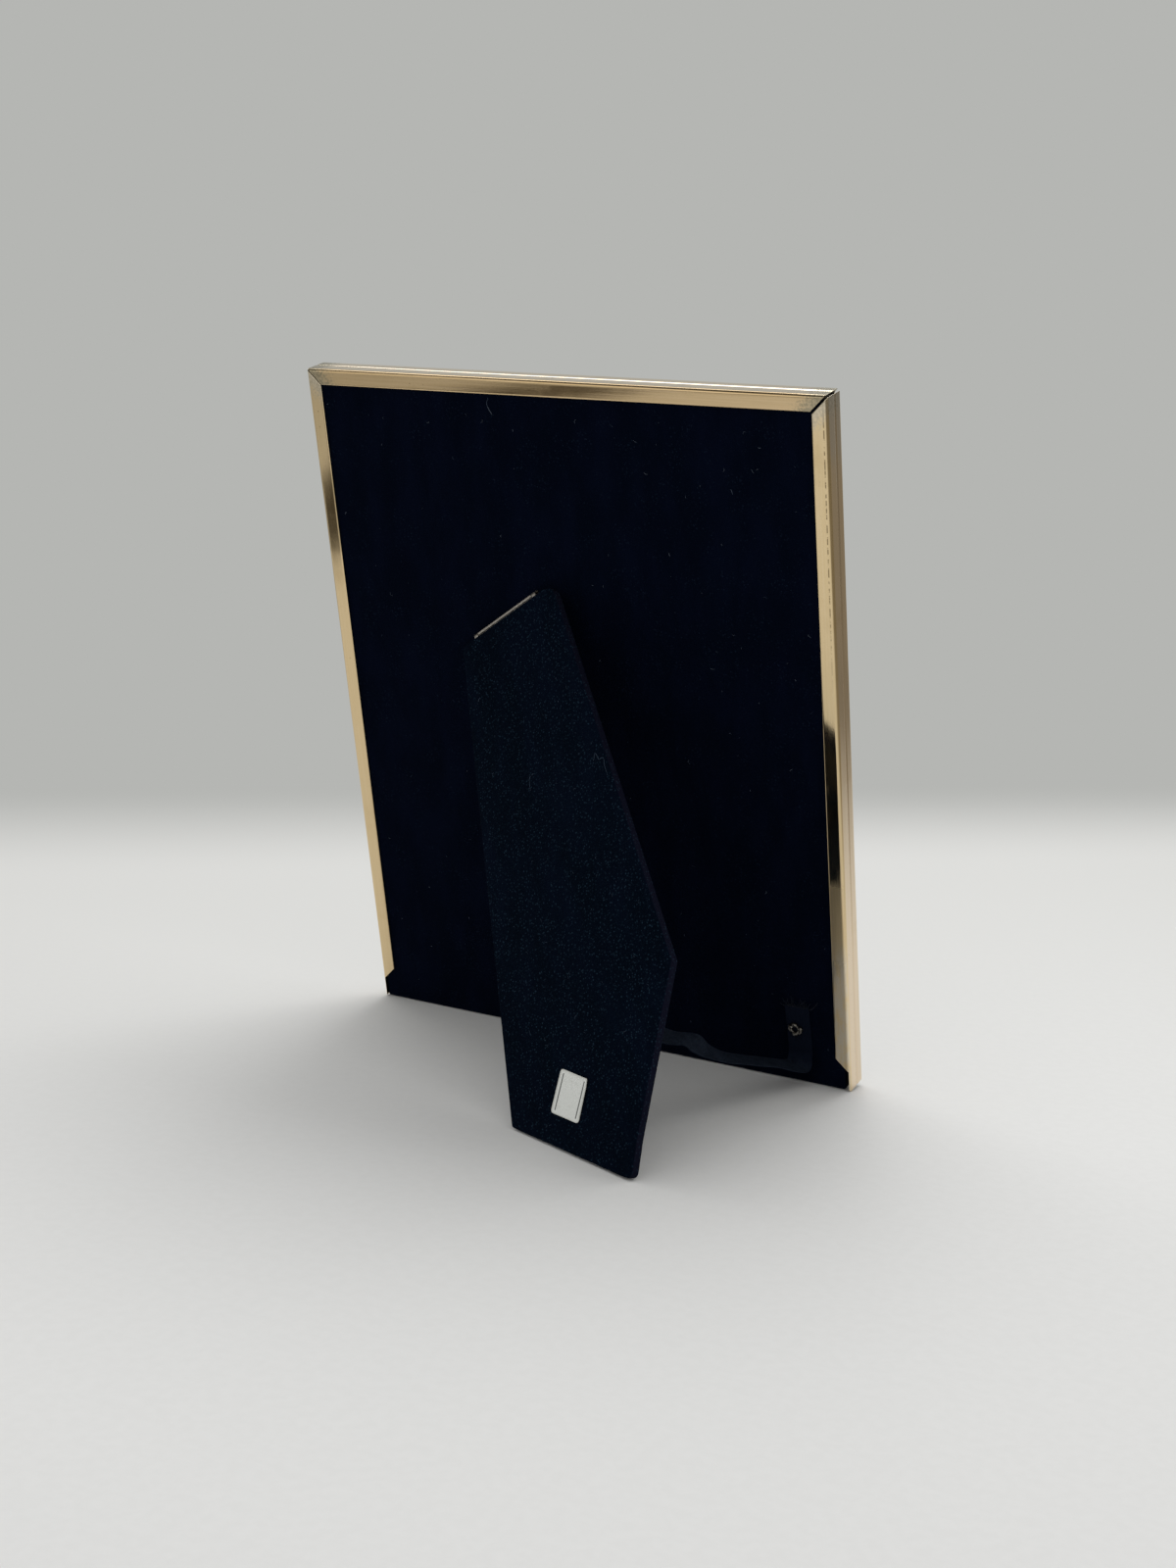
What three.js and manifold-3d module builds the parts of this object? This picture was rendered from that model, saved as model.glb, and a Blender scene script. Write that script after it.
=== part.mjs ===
// A metal photo frame with a velvet easel back, standing on its leg.
// Millimetres, +Z up, front towards -Y. The origin is on the ground, under the middle of the bounding box.
// The frame is drawn upright as it is seen from behind: x to the right, y up from its foot and z back from
// its front face. It is stood up and leaned back at the end.
import * as THREE from "three";
import { mergeVertices } from "three/addons/utils/BufferGeometryUtils.js";
import Module from "manifold-3d";

const wasm = await Module();
wasm.setup();

// The print that the frame is made to hold, 8 by 10 inches, and the room round it in the channel
const printWidth = 203.2;
const printHeight = 254;
const printHeadroom = 3.2; // above the print, within the glass
const glassMargin = 0.8; // between the glass and the walls round it

// Frame: its outer size over the metal follows from what it holds
const sheetThickness = 0.6;
const frameWidth = printWidth + 2 * (sheetThickness + glassMargin);
const frameHeight = printHeight + printHeadroom + 2 * (sheetThickness + glassMargin);
const backLipWidth = 5.65;
const frontLipWidth = 6.4;
const backFoldRadius = 1.2;
const frontFoldRadius = 2;
const foldSteps = 7;

// The groove rolled along the outer walls
const grooveFromBack = 6.2;
const grooveWidth = 1.6;
const grooveFloor = 0.5;
const grooveDepth = 0.35;

// Corners: the mitres are hairlines, but one has opened up, and the side lips are cut away above the foot
const mitreGap = 0.3;
const openMitreGap = 0.9;
const lipCutHeight = 8.1;

// Clearances
const seat = 0.3; // between pieces that lie against each other
const boardSideGap = 1.6; // between the back board's edge and the side walls
const boardTopGap = 1.5;
const boardFootGap = 0.5; // between the board's lower edge and the frame's foot
const boardPlay = 1.1; // between the backing card and the back board, whose lining lies in it

// Corner keys: flat L plates behind the front lip
const keyThickness = 0.8;
const keyArmWidth = 4.4;
const keyArmLength = 24;
const keyChamfer = 1.2;

// Thicknesses of what the frame holds
const glassThickness = 2;
const printThickness = 0.3;
const cardThickness = 1.5;

// Back board and leg: a core in velvet that is turned in round the edges, and a paper lining over the turn-in
const velvetThickness = 0.6;
const liningThickness = 0.4;
const boardCoreThickness = 1.8;
const boardTurnIn = 12;
const boardCornerRadius = 0.8;
const legCoreThickness = 1.6;
const legTurnIn = 8;

// Stance
const lean = THREE.MathUtils.degToRad(14.4);
const legOpening = THREE.MathUtils.degToRad(35);

// Hinge, as seen from behind
const hingeX = -26.5;
const hingeY = 172.7;
const hingeAngle = THREE.MathUtils.degToRad(35.1);
const hingeLength = 33.9;
const earWidth = 1.8;
const knuckleRadius = 1.1;
const knuckleBoreRadius = 0.72;
const pinRadius = 0.45;
const leafThickness = 0.5;
const leafLength = 13;
const seamWidth = 0.35;
const seamAngle = THREE.MathUtils.degToRad(36);

// Two prongs clinch each leaf on the far side of its core
const prongWidth = 3;
const prongThickness = 0.45;
const prongFoldLength = 4.2;
const prongSpacing = 20;
const prongSink = 0.1; // how far the fold lies below the core's face

// Outline of the leg in its own plane: x along the hinge, y up towards it
const legTopGap = 0.5; // between the hinge's knuckle and the leg's top edge
const legTopLeftX = -23;
const legTopRightX = 26.7;
const legKneeX = 44.7;
const legKneeY = -154;
const legTipX = 6.2;
const legHeelX = -41.8;
const legTopLeftRadius = 3.5;
const legTopRightRadius = 6;
const legKneeRadius = 1.2;
const legTipRadius = 2.8;
const legHeelRadius = 1.5;

// Bare label near the leg's foot
const labelWidth = 14.6;
const labelHeight = 15.2;
const labelThickness = 0.2;
const labelRadius = 1.4;
const labelX = -11.3;
const labelAboveFoot = 21.9;

// Check ribbon and its two rivets
const ribbonWidth = 9.5;
const ribbonThickness = 0.5;
const ribbonTail = 9.5; // past each rivet
const ribbonLead = 11; // from each rivet to the bend where the ribbon leaves the face it lies on
const ribbonBend = 3;
const ribbonFirstRise = 1; // off the face, where the bend has begun
const ribbonSag = 3.6;
// The shares of its length between which it turns from the board's way to the leg's
const ribbonTwistFrom = 0.27;
const ribbonTwistTo = 0.55;
const ribbonHangingShares = [0.2, 0.4, 0.6, 0.8]; // of its free stretch, where its sag is set
const boardRivetFromSide = 18.9;
const boardRivetY = 22.9;
const legRivetX = 14;
const legRivetY = -148;
const rivetBoreRadius = 1.05;
const rivetShankRadius = 1.5;
const rivetRimRadius = 2.5;
const rivetRimHeight = 0.9;
const rivetFlangeRadius = 2.4;
const rivetFlangeThickness = 0.35;

// How finely round forms are drawn
const roundSegments = 32;
const cornerSteps = 5;
const ribbonStepsPerSpan = 3;

// How far a cutting shape runs past what it cuts
const overrun = 1;

// Depths from the frame's front face back. What the frame holds sets how deep it is.
const keyFront = sheetThickness + seat;
const glassFront = keyFront + keyThickness + seat;
const printFront = glassFront + glassThickness + seat;
const cardFront = printFront + printThickness + seat;
const boardFront = cardFront + cardThickness + boardPlay;
const coreFront = boardFront + velvetThickness + seat;
const coreBack = coreFront + boardCoreThickness;
const boardBack = coreBack + seat + velvetThickness;
const frameDepth = boardBack + seat + sheetThickness;
const bottomWallDepth = boardFront - seat;
const boardHalfWidth = frameWidth / 2 - sheetThickness - boardSideGap;
const boardRivetX = boardHalfWidth - boardRivetFromSide;

// The hinge's axis stands off the velvet by its knuckle. Heights in the leg are measured from that axis.
const axisDepth = boardBack + seat + knuckleRadius;
const legInner = -knuckleRadius;
const legOuter = legInner + 2 * (velvetThickness + seat) + legCoreThickness;
const legCoreInner = legInner + velvetThickness + seat;
const legCoreOuter = legOuter - velvetThickness - seat;
const legTopY = -knuckleRadius - legTopGap;
const knuckleHalfLength = hingeLength / 2 - earWidth - seat;
const rivetHoleRadius = rivetShankRadius + seat;

// Solids

function solidOf(geometry) {
  const bare = geometry.clone();
  bare.deleteAttribute("normal");
  bare.deleteAttribute("uv");
  const merged = mergeVertices(bare, 1e-4);
  return new wasm.Manifold(
    new wasm.Mesh({
      numProp: 3,
      vertProperties: Float32Array.from(merged.attributes.position.array),
      triVerts: Uint32Array.from(merged.index.array),
    }),
  );
}

function geometryOf(solid) {
  const mesh = solid.getMesh();
  const geometry = new THREE.BufferGeometry();
  geometry.setAttribute("position", new THREE.BufferAttribute(Float32Array.from(mesh.vertProperties), 3));
  geometry.setIndex(new THREE.BufferAttribute(Uint32Array.from(mesh.triVerts), 1));
  const flat = geometry.toNonIndexed();
  flat.computeVertexNormals();
  return flat;
}

function cut(body, ...tools) {
  return geometryOf(tools.reduce((solid, tool) => solid.subtract(solidOf(tool)), solidOf(body)));
}

function join(...pieces) {
  return geometryOf(pieces.map(solidOf).reduce((solid, piece) => solid.add(piece)));
}

// A box given by two opposite corners
function box(low, high) {
  const size = high.map((value, axis) => value - low[axis]);
  const geometry = new THREE.BoxGeometry(...size);
  return geometry.translate(...low.map((value, axis) => value + size[axis] / 2));
}

function prism(points, from, to) {
  const shape = new THREE.Shape(points);
  const geometry = new THREE.ExtrudeGeometry(shape, { depth: to - from, bevelEnabled: false });
  return geometry.translate(0, 0, from);
}

// A round bar along z
function bar(radius, from, to, x = 0, y = 0) {
  const geometry = new THREE.CylinderGeometry(radius, radius, to - from, roundSegments);
  geometry.rotateX(Math.PI / 2);
  return geometry.translate(x, y, (from + to) / 2);
}

// A round bar along x
function rod(radius, from, to) {
  const geometry = new THREE.CylinderGeometry(radius, radius, to - from, roundSegments);
  geometry.rotateZ(Math.PI / 2);
  return geometry.translate((from + to) / 2, 0, 0);
}

// Outlines run anticlockwise

function point(x, y) {
  return new THREE.Vector2(x, y);
}

function rectangle(width, low, high) {
  const half = width / 2;
  return [point(-half, low), point(half, low), point(half, high), point(-half, high)];
}

// The step that carries a corner between two sides sideways by the distance, to the left of the line's run
function sidestep(before, after, distance) {
  const first = before.clone().normalize();
  const second = after.clone().normalize();
  const inward = point(-first.y - second.y, first.x + second.x).normalize();
  const square = inward.x * -second.y + inward.y * second.x;
  return inward.multiplyScalar(distance / square);
}

// Each side of a convex outline moves in by the distance, and the corners follow
function inset(points, distance) {
  return points.map((corner, i) => {
    const before = corner.clone().sub(points.at(i - 1));
    const after = points[(i + 1) % points.length].clone().sub(corner);
    return corner.clone().add(sidestep(before, after, distance));
  });
}

// An outline with each corner rounded to its own radius
function rounded(points, radii) {
  return points.flatMap((corner, i) => {
    const back = points.at(i - 1).clone().sub(corner).normalize();
    const on = points[(i + 1) % points.length].clone().sub(corner).normalize();
    const reach = radii[i] / Math.tan(Math.acos(back.dot(on)) / 2);
    const start = corner.clone().addScaledVector(back, reach);
    const end = corner.clone().addScaledVector(on, reach);
    return new THREE.QuadraticBezierCurve(start, corner, end).getPoints(cornerSteps);
  });
}

// Materials

function material(color, metalness, roughness) {
  return new THREE.MeshStandardMaterial({ color, metalness, roughness });
}

const gold = material(0xc8b083, 1, 0.25);
const steel = material(0xb9b6ae, 1, 0.35);
const zinc = material(0x8d8f90, 1, 0.5);
const velvet = material(0x05080f, 0, 0.95);
const grosgrain = material(0x14161a, 0, 0.85);
const greyBoard = material(0x8a8478, 0, 0.9);
const liningPaper = material(0x1b1b1d, 0, 0.9);
const printPaper = material(0xf2f0ea, 0, 0.4);
const labelPaper = material(0xf4f4f2, 0, 0.55);
const clearGlass = new THREE.MeshStandardMaterial({
  color: 0xdfe8e6,
  roughness: 0.05,
  transparent: true,
  opacity: 0.35,
});

function piece(name, geometry, ofMaterial) {
  const mesh = new THREE.Mesh(geometry, ofMaterial);
  mesh.name = name;
  return mesh;
}

// Rails

function arc(centre, radius, from, to) {
  return Array.from({ length: foldSteps + 1 }, (_, i) => {
    const angle = THREE.MathUtils.lerp(from, to, i / foldSteps);
    return point(centre.x + radius * Math.cos(angle), centre.y + radius * Math.sin(angle));
  });
}

// The outer line of a rail's section: x in from the outer wall, y back from the front face
function railLine(hasBackLip) {
  const backFold = point(backFoldRadius, frameDepth - backFoldRadius);
  const frontFold = point(frontFoldRadius, frontFoldRadius);
  const groove = frameDepth - grooveFromBack;
  const back = hasBackLip
    ? [point(backLipWidth, frameDepth), ...arc(backFold, backFoldRadius, Math.PI / 2, Math.PI)]
    : [point(0, bottomWallDepth)];
  return [
    ...back,
    point(0, groove + grooveWidth / 2),
    point(grooveDepth, groove + grooveFloor / 2),
    point(grooveDepth, groove - grooveFloor / 2),
    point(0, groove - grooveWidth / 2),
    ...arc(frontFold, frontFoldRadius, Math.PI, 1.5 * Math.PI),
    point(frontLipWidth, 0),
  ];
}

// The rolled strip's section: the outer line and the same line one sheet thickness further in
function railSection(hasBackLip) {
  const outer = railLine(hasBackLip);
  const last = outer.length - 1;
  const inner = outer.map((corner, i) => {
    const side = (from) => outer[from + 1].clone().sub(outer[from]);
    const before = side(Math.max(i - 1, 0));
    const after = side(Math.min(i, last - 1));
    return corner.clone().add(sidestep(before, after, sheetThickness));
  });
  return [...outer, ...inner.reverse()];
}

// A rail along z, of the given outer length, whose ends are mitred from the outer wall inwards
function mitredRail(length, hasBackLip, startGap, endGap) {
  const geometry = prism(railSection(hasBackLip), 0, length);
  const position = geometry.attributes.position;
  for (let i = 0; i < position.count; i += 1) {
    const fromWall = position.getX(i);
    const isEnd = position.getZ(i) > length / 2;
    const start = fromWall + startGap * Math.SQRT1_2;
    const end = length - fromWall - endGap * Math.SQRT1_2;
    position.setZ(i, isEnd ? end : start);
  }
  return geometry;
}

// What the slanted cut takes off a side rail's back lip. The rail is drawn along z, with the frame's foot
// at footZ, and runs from it in the given direction.
function lipCut(footZ, direction) {
  const corner = (fromWall, height) => point(fromWall, footZ + direction * height);
  const lipEdge = backLipWidth + overrun;
  const outline = [
    corner(sheetThickness, -overrun),
    corner(lipEdge, -overrun),
    corner(lipEdge, lipCutHeight + lipEdge),
    corner(sheetThickness, lipCutHeight + sheetThickness),
  ];
  return prism(outline, -frameDepth - overrun, backFoldRadius - frameDepth).rotateX(Math.PI / 2);
}

// Puts a piece that is drawn for the frame's first corner at that corner or, turned, at one of the next
// three. The corners and rails run anticlockwise as seen from behind.
function placeAtCorner(mesh, quarterTurns) {
  const right = quarterTurns === 1 || quarterTurns === 2;
  const top = quarterTurns >= 2;
  mesh.rotation.z = (quarterTurns * Math.PI) / 2;
  mesh.position.set(right ? frameWidth / 2 : -frameWidth / 2, top ? frameHeight : 0, 0);
  return mesh;
}

// Turns a rail that was drawn along z so that it runs along x with its wall at the foot
function layAlongX(geometry) {
  const basis = new THREE.Matrix4().makeBasis(
    new THREE.Vector3(0, 1, 0),
    new THREE.Vector3(0, 0, 1),
    new THREE.Vector3(1, 0, 0),
  );
  return geometry.applyMatrix4(basis);
}

function rails() {
  const bottom = mitredRail(frameWidth, false, mitreGap, mitreGap);
  const top = mitredRail(frameWidth, true, openMitreGap, mitreGap);
  const left = cut(mitredRail(frameHeight, true, mitreGap, openMitreGap), lipCut(0, 1));
  const right = cut(mitredRail(frameHeight, true, mitreGap, mitreGap), lipCut(frameHeight, -1));
  const inTurn = { bottom_rail: bottom, left_rail: left, top_rail: top, right_rail: right };
  return Object.entries(inTurn).map(([name, geometry], turns) =>
    placeAtCorner(piece(name, layAlongX(geometry), gold), turns),
  );
}

function cornerKeys() {
  const near = frontFoldRadius - seat;
  const far = near + keyArmWidth;
  const end = near + keyArmLength;
  const outline = [
    point(near + keyChamfer, near),
    point(end, near),
    point(end, far),
    point(far, far),
    point(far, end),
    point(near, end),
    point(near, near + keyChamfer),
  ];
  const names = ["bottom_right", "bottom_left", "top_left", "top_right"];
  return names.map((name, turns) => {
    const geometry = prism(outline, keyFront, keyFront + keyThickness);
    return placeAtCorner(piece(`corner_key_${name}`, geometry, zinc), turns);
  });
}

// Glass, print and card, one behind the other in the channel
function contents() {
  const edge = sheetThickness + glassMargin;
  const width = frameWidth - 2 * edge;
  const full = rectangle(width, edge, frameHeight - edge);
  const print = rectangle(printWidth, edge, edge + printHeight);
  return [
    piece("glass_pane", prism(full, glassFront, glassFront + glassThickness), clearGlass),
    piece("photo_sheet", prism(print, printFront, printFront + printThickness), printPaper),
    piece("backing_card", prism(full, cardFront, cardFront + cardThickness), greyBoard),
  ];
}

// Velvet-covered boards

// The velvet over a board: over its back and round its edges, and turned in over the rim of its inner side
function velvetCover(outline, radii, inner, outer, turnIn) {
  const within = radii.map((radius) => Math.max(radius - velvetThickness, velvetThickness / 2));
  const body = prism(rounded(outline, radii), inner, outer);
  const hollow = prism(
    rounded(inset(outline, velvetThickness), within),
    inner + velvetThickness,
    outer - velvetThickness,
  );
  const window = prism(inset(outline, turnIn), inner - overrun, inner + velvetThickness + seat);
  return cut(body, hollow, window);
}

function coreBlank(outline, radii, inner, outer) {
  const edge = velvetThickness + seat;
  const within = radii.map((radius) => Math.max(radius - edge, velvetThickness / 2));
  return prism(rounded(inset(outline, edge), within), inner, outer);
}

function liningSheet(outline, turnIn, coreInner) {
  const top = coreInner - seat;
  return prism(inset(outline, turnIn + seat), top - liningThickness, top);
}

// Hinge leaves. Each is drawn for the board: the hinge along x, the leaf up along y, and the clinched side
// at -z.

const prongPlaces = [-prongSpacing / 2, prongSpacing / 2];

// A flat leaf whose prongs go through the core and are folded over on its far side
function clinchedLeaf(halfWidth, from, middle, coreFar) {
  const plate = box(
    [-halfWidth, from, middle - leafThickness / 2],
    [halfWidth, leafLength, middle + leafThickness / 2],
  );
  const foldLow = coreFar + prongSink;
  const prongs = prongPlaces.flatMap((x) => {
    const left = x - prongWidth / 2;
    const right = x + prongWidth / 2;
    const root = leafLength - prongThickness;
    return [
      box([left, root, foldLow], [right, leafLength, middle]),
      box([left, root, foldLow], [right, leafLength + prongFoldLength, foldLow + prongThickness]),
    ];
  });
  return join(plate, ...prongs);
}

// The room that a core gives its leaf: a pocket for the plate, slots for the prongs and recesses for
// their folds
function leafRoom(halfWidth, middle, coreNear, coreFar) {
  const pocket = box(
    [-halfWidth - seat, seat, middle - leafThickness / 2 - seat],
    [halfWidth + seat, leafLength + seat, coreNear + overrun],
  );
  const prongs = prongPlaces.flatMap((x) => {
    const left = x - prongWidth / 2 - seat;
    const right = x + prongWidth / 2 + seat;
    const root = leafLength - prongThickness - seat;
    const recessTop = coreFar + prongSink + prongThickness + seat;
    return [
      box([left, root, coreFar - overrun], [right, leafLength + seat, coreNear + overrun]),
      box([left, root, coreFar - overrun], [right, leafLength + prongFoldLength + seat, recessTop]),
    ];
  });
  return [pocket, ...prongs];
}

// Where the two leaves lie, from the hinge's axis
const boardLeafMiddle = coreBack - axisDepth - seat - leafThickness / 2;
const earSides = [-1, 1].map((side) => {
  const ends = [side * (hingeLength / 2), side * (hingeLength / 2 - earWidth)];
  return { from: Math.min(...ends), to: Math.max(...ends) };
});

// The board's leaf: at each end an ear rises through the velvet and is rolled round the pin
function hingeBoardLeaf() {
  const inside = knuckleRadius - leafThickness;
  const leaf = clinchedLeaf(hingeLength / 2, inside, boardLeafMiddle, coreFront - axisDepth);
  const ears = earSides.flatMap(({ from, to }) => [
    rod(knuckleRadius, from, to),
    box([from, inside, boardLeafMiddle], [to, knuckleRadius, 0]),
  ]);
  return cut(join(leaf, ...ears), rod(knuckleBoreRadius, -hingeLength, hingeLength));
}

// The leg's leaf: one long knuckle between the ears, with the open seam of the roll along it
function hingeLegLeaf() {
  const leaf = clinchedLeaf(knuckleHalfLength, knuckleBoreRadius, 0, -legCoreOuter).rotateX(Math.PI);
  const seam = box(
    [-hingeLength, -seamWidth / 2, knuckleBoreRadius / 2],
    [hingeLength, seamWidth / 2, 2 * knuckleRadius],
  ).rotateX(seamAngle);
  const knuckle = rod(knuckleRadius, -knuckleHalfLength, knuckleHalfLength);
  return cut(join(knuckle, leaf), rod(knuckleBoreRadius, -hingeLength, hingeLength), seam);
}

// A tubular rivet along z: a flat flange at its foot and a curled rim on top
function rivet(flangeFoot, rimFoot) {
  const middle = (rivetBoreRadius + rivetRimRadius) / 2;
  const half = (rivetRimRadius - rivetBoreRadius) / 2;
  const rim = Array.from({ length: foldSteps + 1 }, (_, i) => {
    const angle = (Math.PI * i) / foldSteps;
    return point(middle + half * Math.cos(angle), rimFoot + rivetRimHeight * Math.sin(angle));
  });
  const profile = [
    point(rivetBoreRadius, flangeFoot),
    point(rivetFlangeRadius, flangeFoot),
    point(rivetFlangeRadius, flangeFoot + rivetFlangeThickness),
    point(rivetShankRadius, flangeFoot + rivetFlangeThickness),
    point(rivetShankRadius, rimFoot),
    ...rim,
    point(rivetBoreRadius, flangeFoot),
  ];
  return new THREE.LatheGeometry(profile, roundSegments).rotateX(Math.PI / 2);
}

// Back board

// Groups whose own frames are those of the hinge and of the opened leg
const hinge = new THREE.Group();
hinge.position.set(hingeX, hingeY, axisDepth);
hinge.rotation.z = hingeAngle;
hinge.updateMatrix();

const leg = new THREE.Group();
leg.rotation.x = -legOpening;
leg.updateMatrix();
hinge.add(leg);

const boardOutline = rectangle(
  2 * boardHalfWidth,
  boardFootGap,
  frameHeight - sheetThickness - boardTopGap,
);
const boardRadii = boardOutline.map(() => boardCornerRadius);
const boardRivetFlange = coreFront - 2 * seat - liningThickness - rivetFlangeThickness;
const boardRivetRim = boardBack + 2 * seat + ribbonThickness;

function boardPieces() {
  const rivetHole = bar(rivetHoleRadius, 0, 2 * frameDepth, boardRivetX, boardRivetY);
  const onBoard = (tool) => tool.applyMatrix4(hinge.matrix);
  const leafSpace = leafRoom(
    hingeLength / 2,
    boardLeafMiddle,
    coreBack - axisDepth,
    coreFront - axisDepth,
  ).map(onBoard);
  const earSlots = earSides.map(({ from, to }) => {
    const low = [from - seat, knuckleRadius - leafThickness - seat, coreBack - axisDepth];
    return onBoard(box(low, [to + seat, knuckleRadius + seat, 0]));
  });
  const core = coreBlank(boardOutline, boardRadii, coreFront, coreBack);
  const cover = velvetCover(boardOutline, boardRadii, boardFront, boardBack, boardTurnIn);
  const lining = liningSheet(boardOutline, boardTurnIn, coreFront);
  const eyelet = piece("ribbon_board_rivet", rivet(boardRivetFlange, boardRivetRim), steel);
  eyelet.position.set(boardRivetX, boardRivetY, 0);
  return [
    piece("back_board_core", cut(core, rivetHole, ...leafSpace), greyBoard),
    piece("back_board_velvet", cut(cover, rivetHole, ...earSlots), velvet),
    piece("back_board_lining", cut(lining, rivetHole), liningPaper),
    eyelet,
  ];
}

// Easel leg

// The leg's foot lies on the ground: the line where the ground meets its inner face, in the leg's own plane.
// The ground is where the lowest points of the leaning side rails rest.
const upInPanel = new THREE.Vector3(0, Math.cos(lean), -Math.sin(lean));
const upInLeg = upInPanel
  .clone()
  .applyAxisAngle(new THREE.Vector3(0, 0, 1), -hingeAngle)
  .applyAxisAngle(new THREE.Vector3(1, 0, 0), legOpening);
const frameFoot = mitredRail(frameHeight, true, mitreGap, mitreGap);

function groundHeight() {
  const position = frameFoot.attributes.position;
  const heights = Array.from({ length: position.count }, (_, i) => {
    return position.getZ(i) * upInPanel.y + position.getY(i) * upInPanel.z;
  });
  return Math.min(...heights);
}

const hingeHeight = hinge.position.dot(upInPanel);
const legDrop = groundHeight() - hingeHeight;

function footY(x) {
  return (legDrop - x * upInLeg.x - legInner * upInLeg.z) / upInLeg.y;
}

// The corners of the leg's outline, anticlockwise from the top left
const legCorners = [
  { at: point(legTopLeftX, legTopY), radius: legTopLeftRadius },
  { at: point(legHeelX, footY(legHeelX)), radius: legHeelRadius },
  { at: point(legTipX, footY(legTipX)), radius: legTipRadius },
  { at: point(legKneeX, legKneeY), radius: legKneeRadius },
  { at: point(legTopRightX, legTopY), radius: legTopRightRadius },
];
const legOutline = legCorners.map((corner) => corner.at);
const legRadii = legCorners.map((corner) => corner.radius);

function legPieces() {
  const rivetHole = bar(rivetHoleRadius, legInner - overrun, legCoreOuter + seat, legRivetX, legRivetY);
  const flangeTop = legCoreOuter - prongSink;
  const flangeRoom = bar(
    rivetFlangeRadius + seat,
    flangeTop - rivetFlangeThickness - seat,
    legOuter,
    legRivetX,
    legRivetY,
  );
  const leafSpace = leafRoom(knuckleHalfLength, 0, -legCoreInner, -legCoreOuter).map((tool) =>
    tool.rotateX(Math.PI),
  );
  const slotHalf = leafThickness / 2 + seat;
  const leafSlot = box(
    [-knuckleHalfLength - seat, legTopY - velvetThickness - seat, -slotHalf],
    [knuckleHalfLength + seat, 0, slotHalf],
  );
  const core = coreBlank(legOutline, legRadii, legCoreInner, legCoreOuter);
  const cover = velvetCover(legOutline, legRadii, legInner, legOuter, legTurnIn);
  const lining = liningSheet(legOutline, legTurnIn, legCoreInner);
  const rimFoot = 2 * seat + ribbonThickness - legInner;
  const eyelet = piece("ribbon_leg_rivet", rivet(-flangeTop, rimFoot), steel);
  eyelet.rotation.x = Math.PI;
  eyelet.position.set(legRivetX, legRivetY, 0);
  return [
    piece("leg_core", cut(core, rivetHole, flangeRoom, ...leafSpace), greyBoard),
    piece("leg_velvet", cut(cover, leafSlot), velvet),
    piece("leg_lining", cut(lining, rivetHole), liningPaper),
    piece("hinge_leg_leaf", hingeLegLeaf(), steel),
    eyelet,
    legLabel(),
  ];
}

function legLabel() {
  const outline = rectangle(labelWidth, -labelHeight / 2, labelHeight / 2);
  const low = legOuter + seat;
  const radii = outline.map(() => labelRadius);
  const label = piece("leg_label", prism(rounded(outline, radii), low, low + labelThickness), labelPaper);
  label.rotation.z = -hingeAngle;
  label.position.set(labelX, footY(labelX) + labelAboveFoot, 0);
  return label;
}

// Check ribbon

// A closed strap through the stations, each with its middle and the direction across it
function strap(stations) {
  const corners = stations.flatMap(({ at, across }, i) => {
    const ahead = stations[Math.min(i + 1, stations.length - 1)].at;
    const behind = stations[Math.max(i - 1, 0)].at;
    const run = ahead.clone().sub(behind).normalize();
    const side = across.clone().addScaledVector(run, -across.dot(run)).normalize();
    const face = new THREE.Vector3().crossVectors(side, run);
    const place = (alongSide, alongFace) =>
      at
        .clone()
        .addScaledVector(side, (alongSide * ribbonWidth) / 2)
        .addScaledVector(face, (alongFace * ribbonThickness) / 2);
    return [place(-1, -1), place(1, -1), place(1, 1), place(-1, 1)];
  });
  const index = [];
  const quad = (a, b, c, d) => index.push(a, b, c, a, c, d);
  for (let i = 0; i + 1 < stations.length; i += 1) {
    for (let k = 0; k < 4; k += 1) {
      const on = (k + 1) % 4;
      quad(4 * i + k, 4 * i + 4 + k, 4 * i + 4 + on, 4 * i + on);
    }
  }
  const end = 4 * (stations.length - 1);
  quad(0, 1, 2, 3);
  quad(end + 3, end + 2, end + 1, end);
  const geometry = new THREE.BufferGeometry().setFromPoints(corners);
  geometry.setIndex(index);
  return geometry;
}

// The ribbon lies on the board, leaves it at a bend, hangs slightly to the leg, and lies on the leg's
// inner face
function ribbonPath() {
  const legMatrix = hinge.matrix.clone().multiply(leg.matrix);
  const offFace = seat + ribbonThickness / 2;
  const onBoard = (y, lift) => new THREE.Vector3(boardRivetX, y, boardBack + offFace + lift);
  const onLeg = (y, lift) =>
    new THREE.Vector3(legRivetX, y, legInner - offFace - lift).applyMatrix4(legMatrix);
  const boardBend = boardRivetY - ribbonLead;
  const legBend = legRivetY - ribbonLead;
  const leave = onBoard(boardBend - ribbonBend, ribbonBend);
  const arrive = onLeg(legBend - ribbonBend, ribbonBend);
  const hanging = (share) =>
    leave
      .clone()
      .lerp(arrive, share)
      .addScaledVector(upInPanel, -4 * ribbonSag * share * (1 - share));
  return [
    onBoard(boardRivetY + ribbonTail, 0),
    onBoard(boardRivetY, 0),
    onBoard(boardBend + ribbonBend, 0),
    onBoard(boardBend, 0),
    onBoard(boardBend - ribbonBend + ribbonFirstRise, ribbonFirstRise),
    leave,
    ...ribbonHangingShares.map(hanging),
    arrive,
    onLeg(legBend - ribbonBend + ribbonFirstRise, ribbonFirstRise),
    onLeg(legBend, 0),
    onLeg(legBend + ribbonBend, 0),
    onLeg(legRivetY, 0),
    onLeg(legRivetY + ribbonTail, 0),
  ];
}

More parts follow.
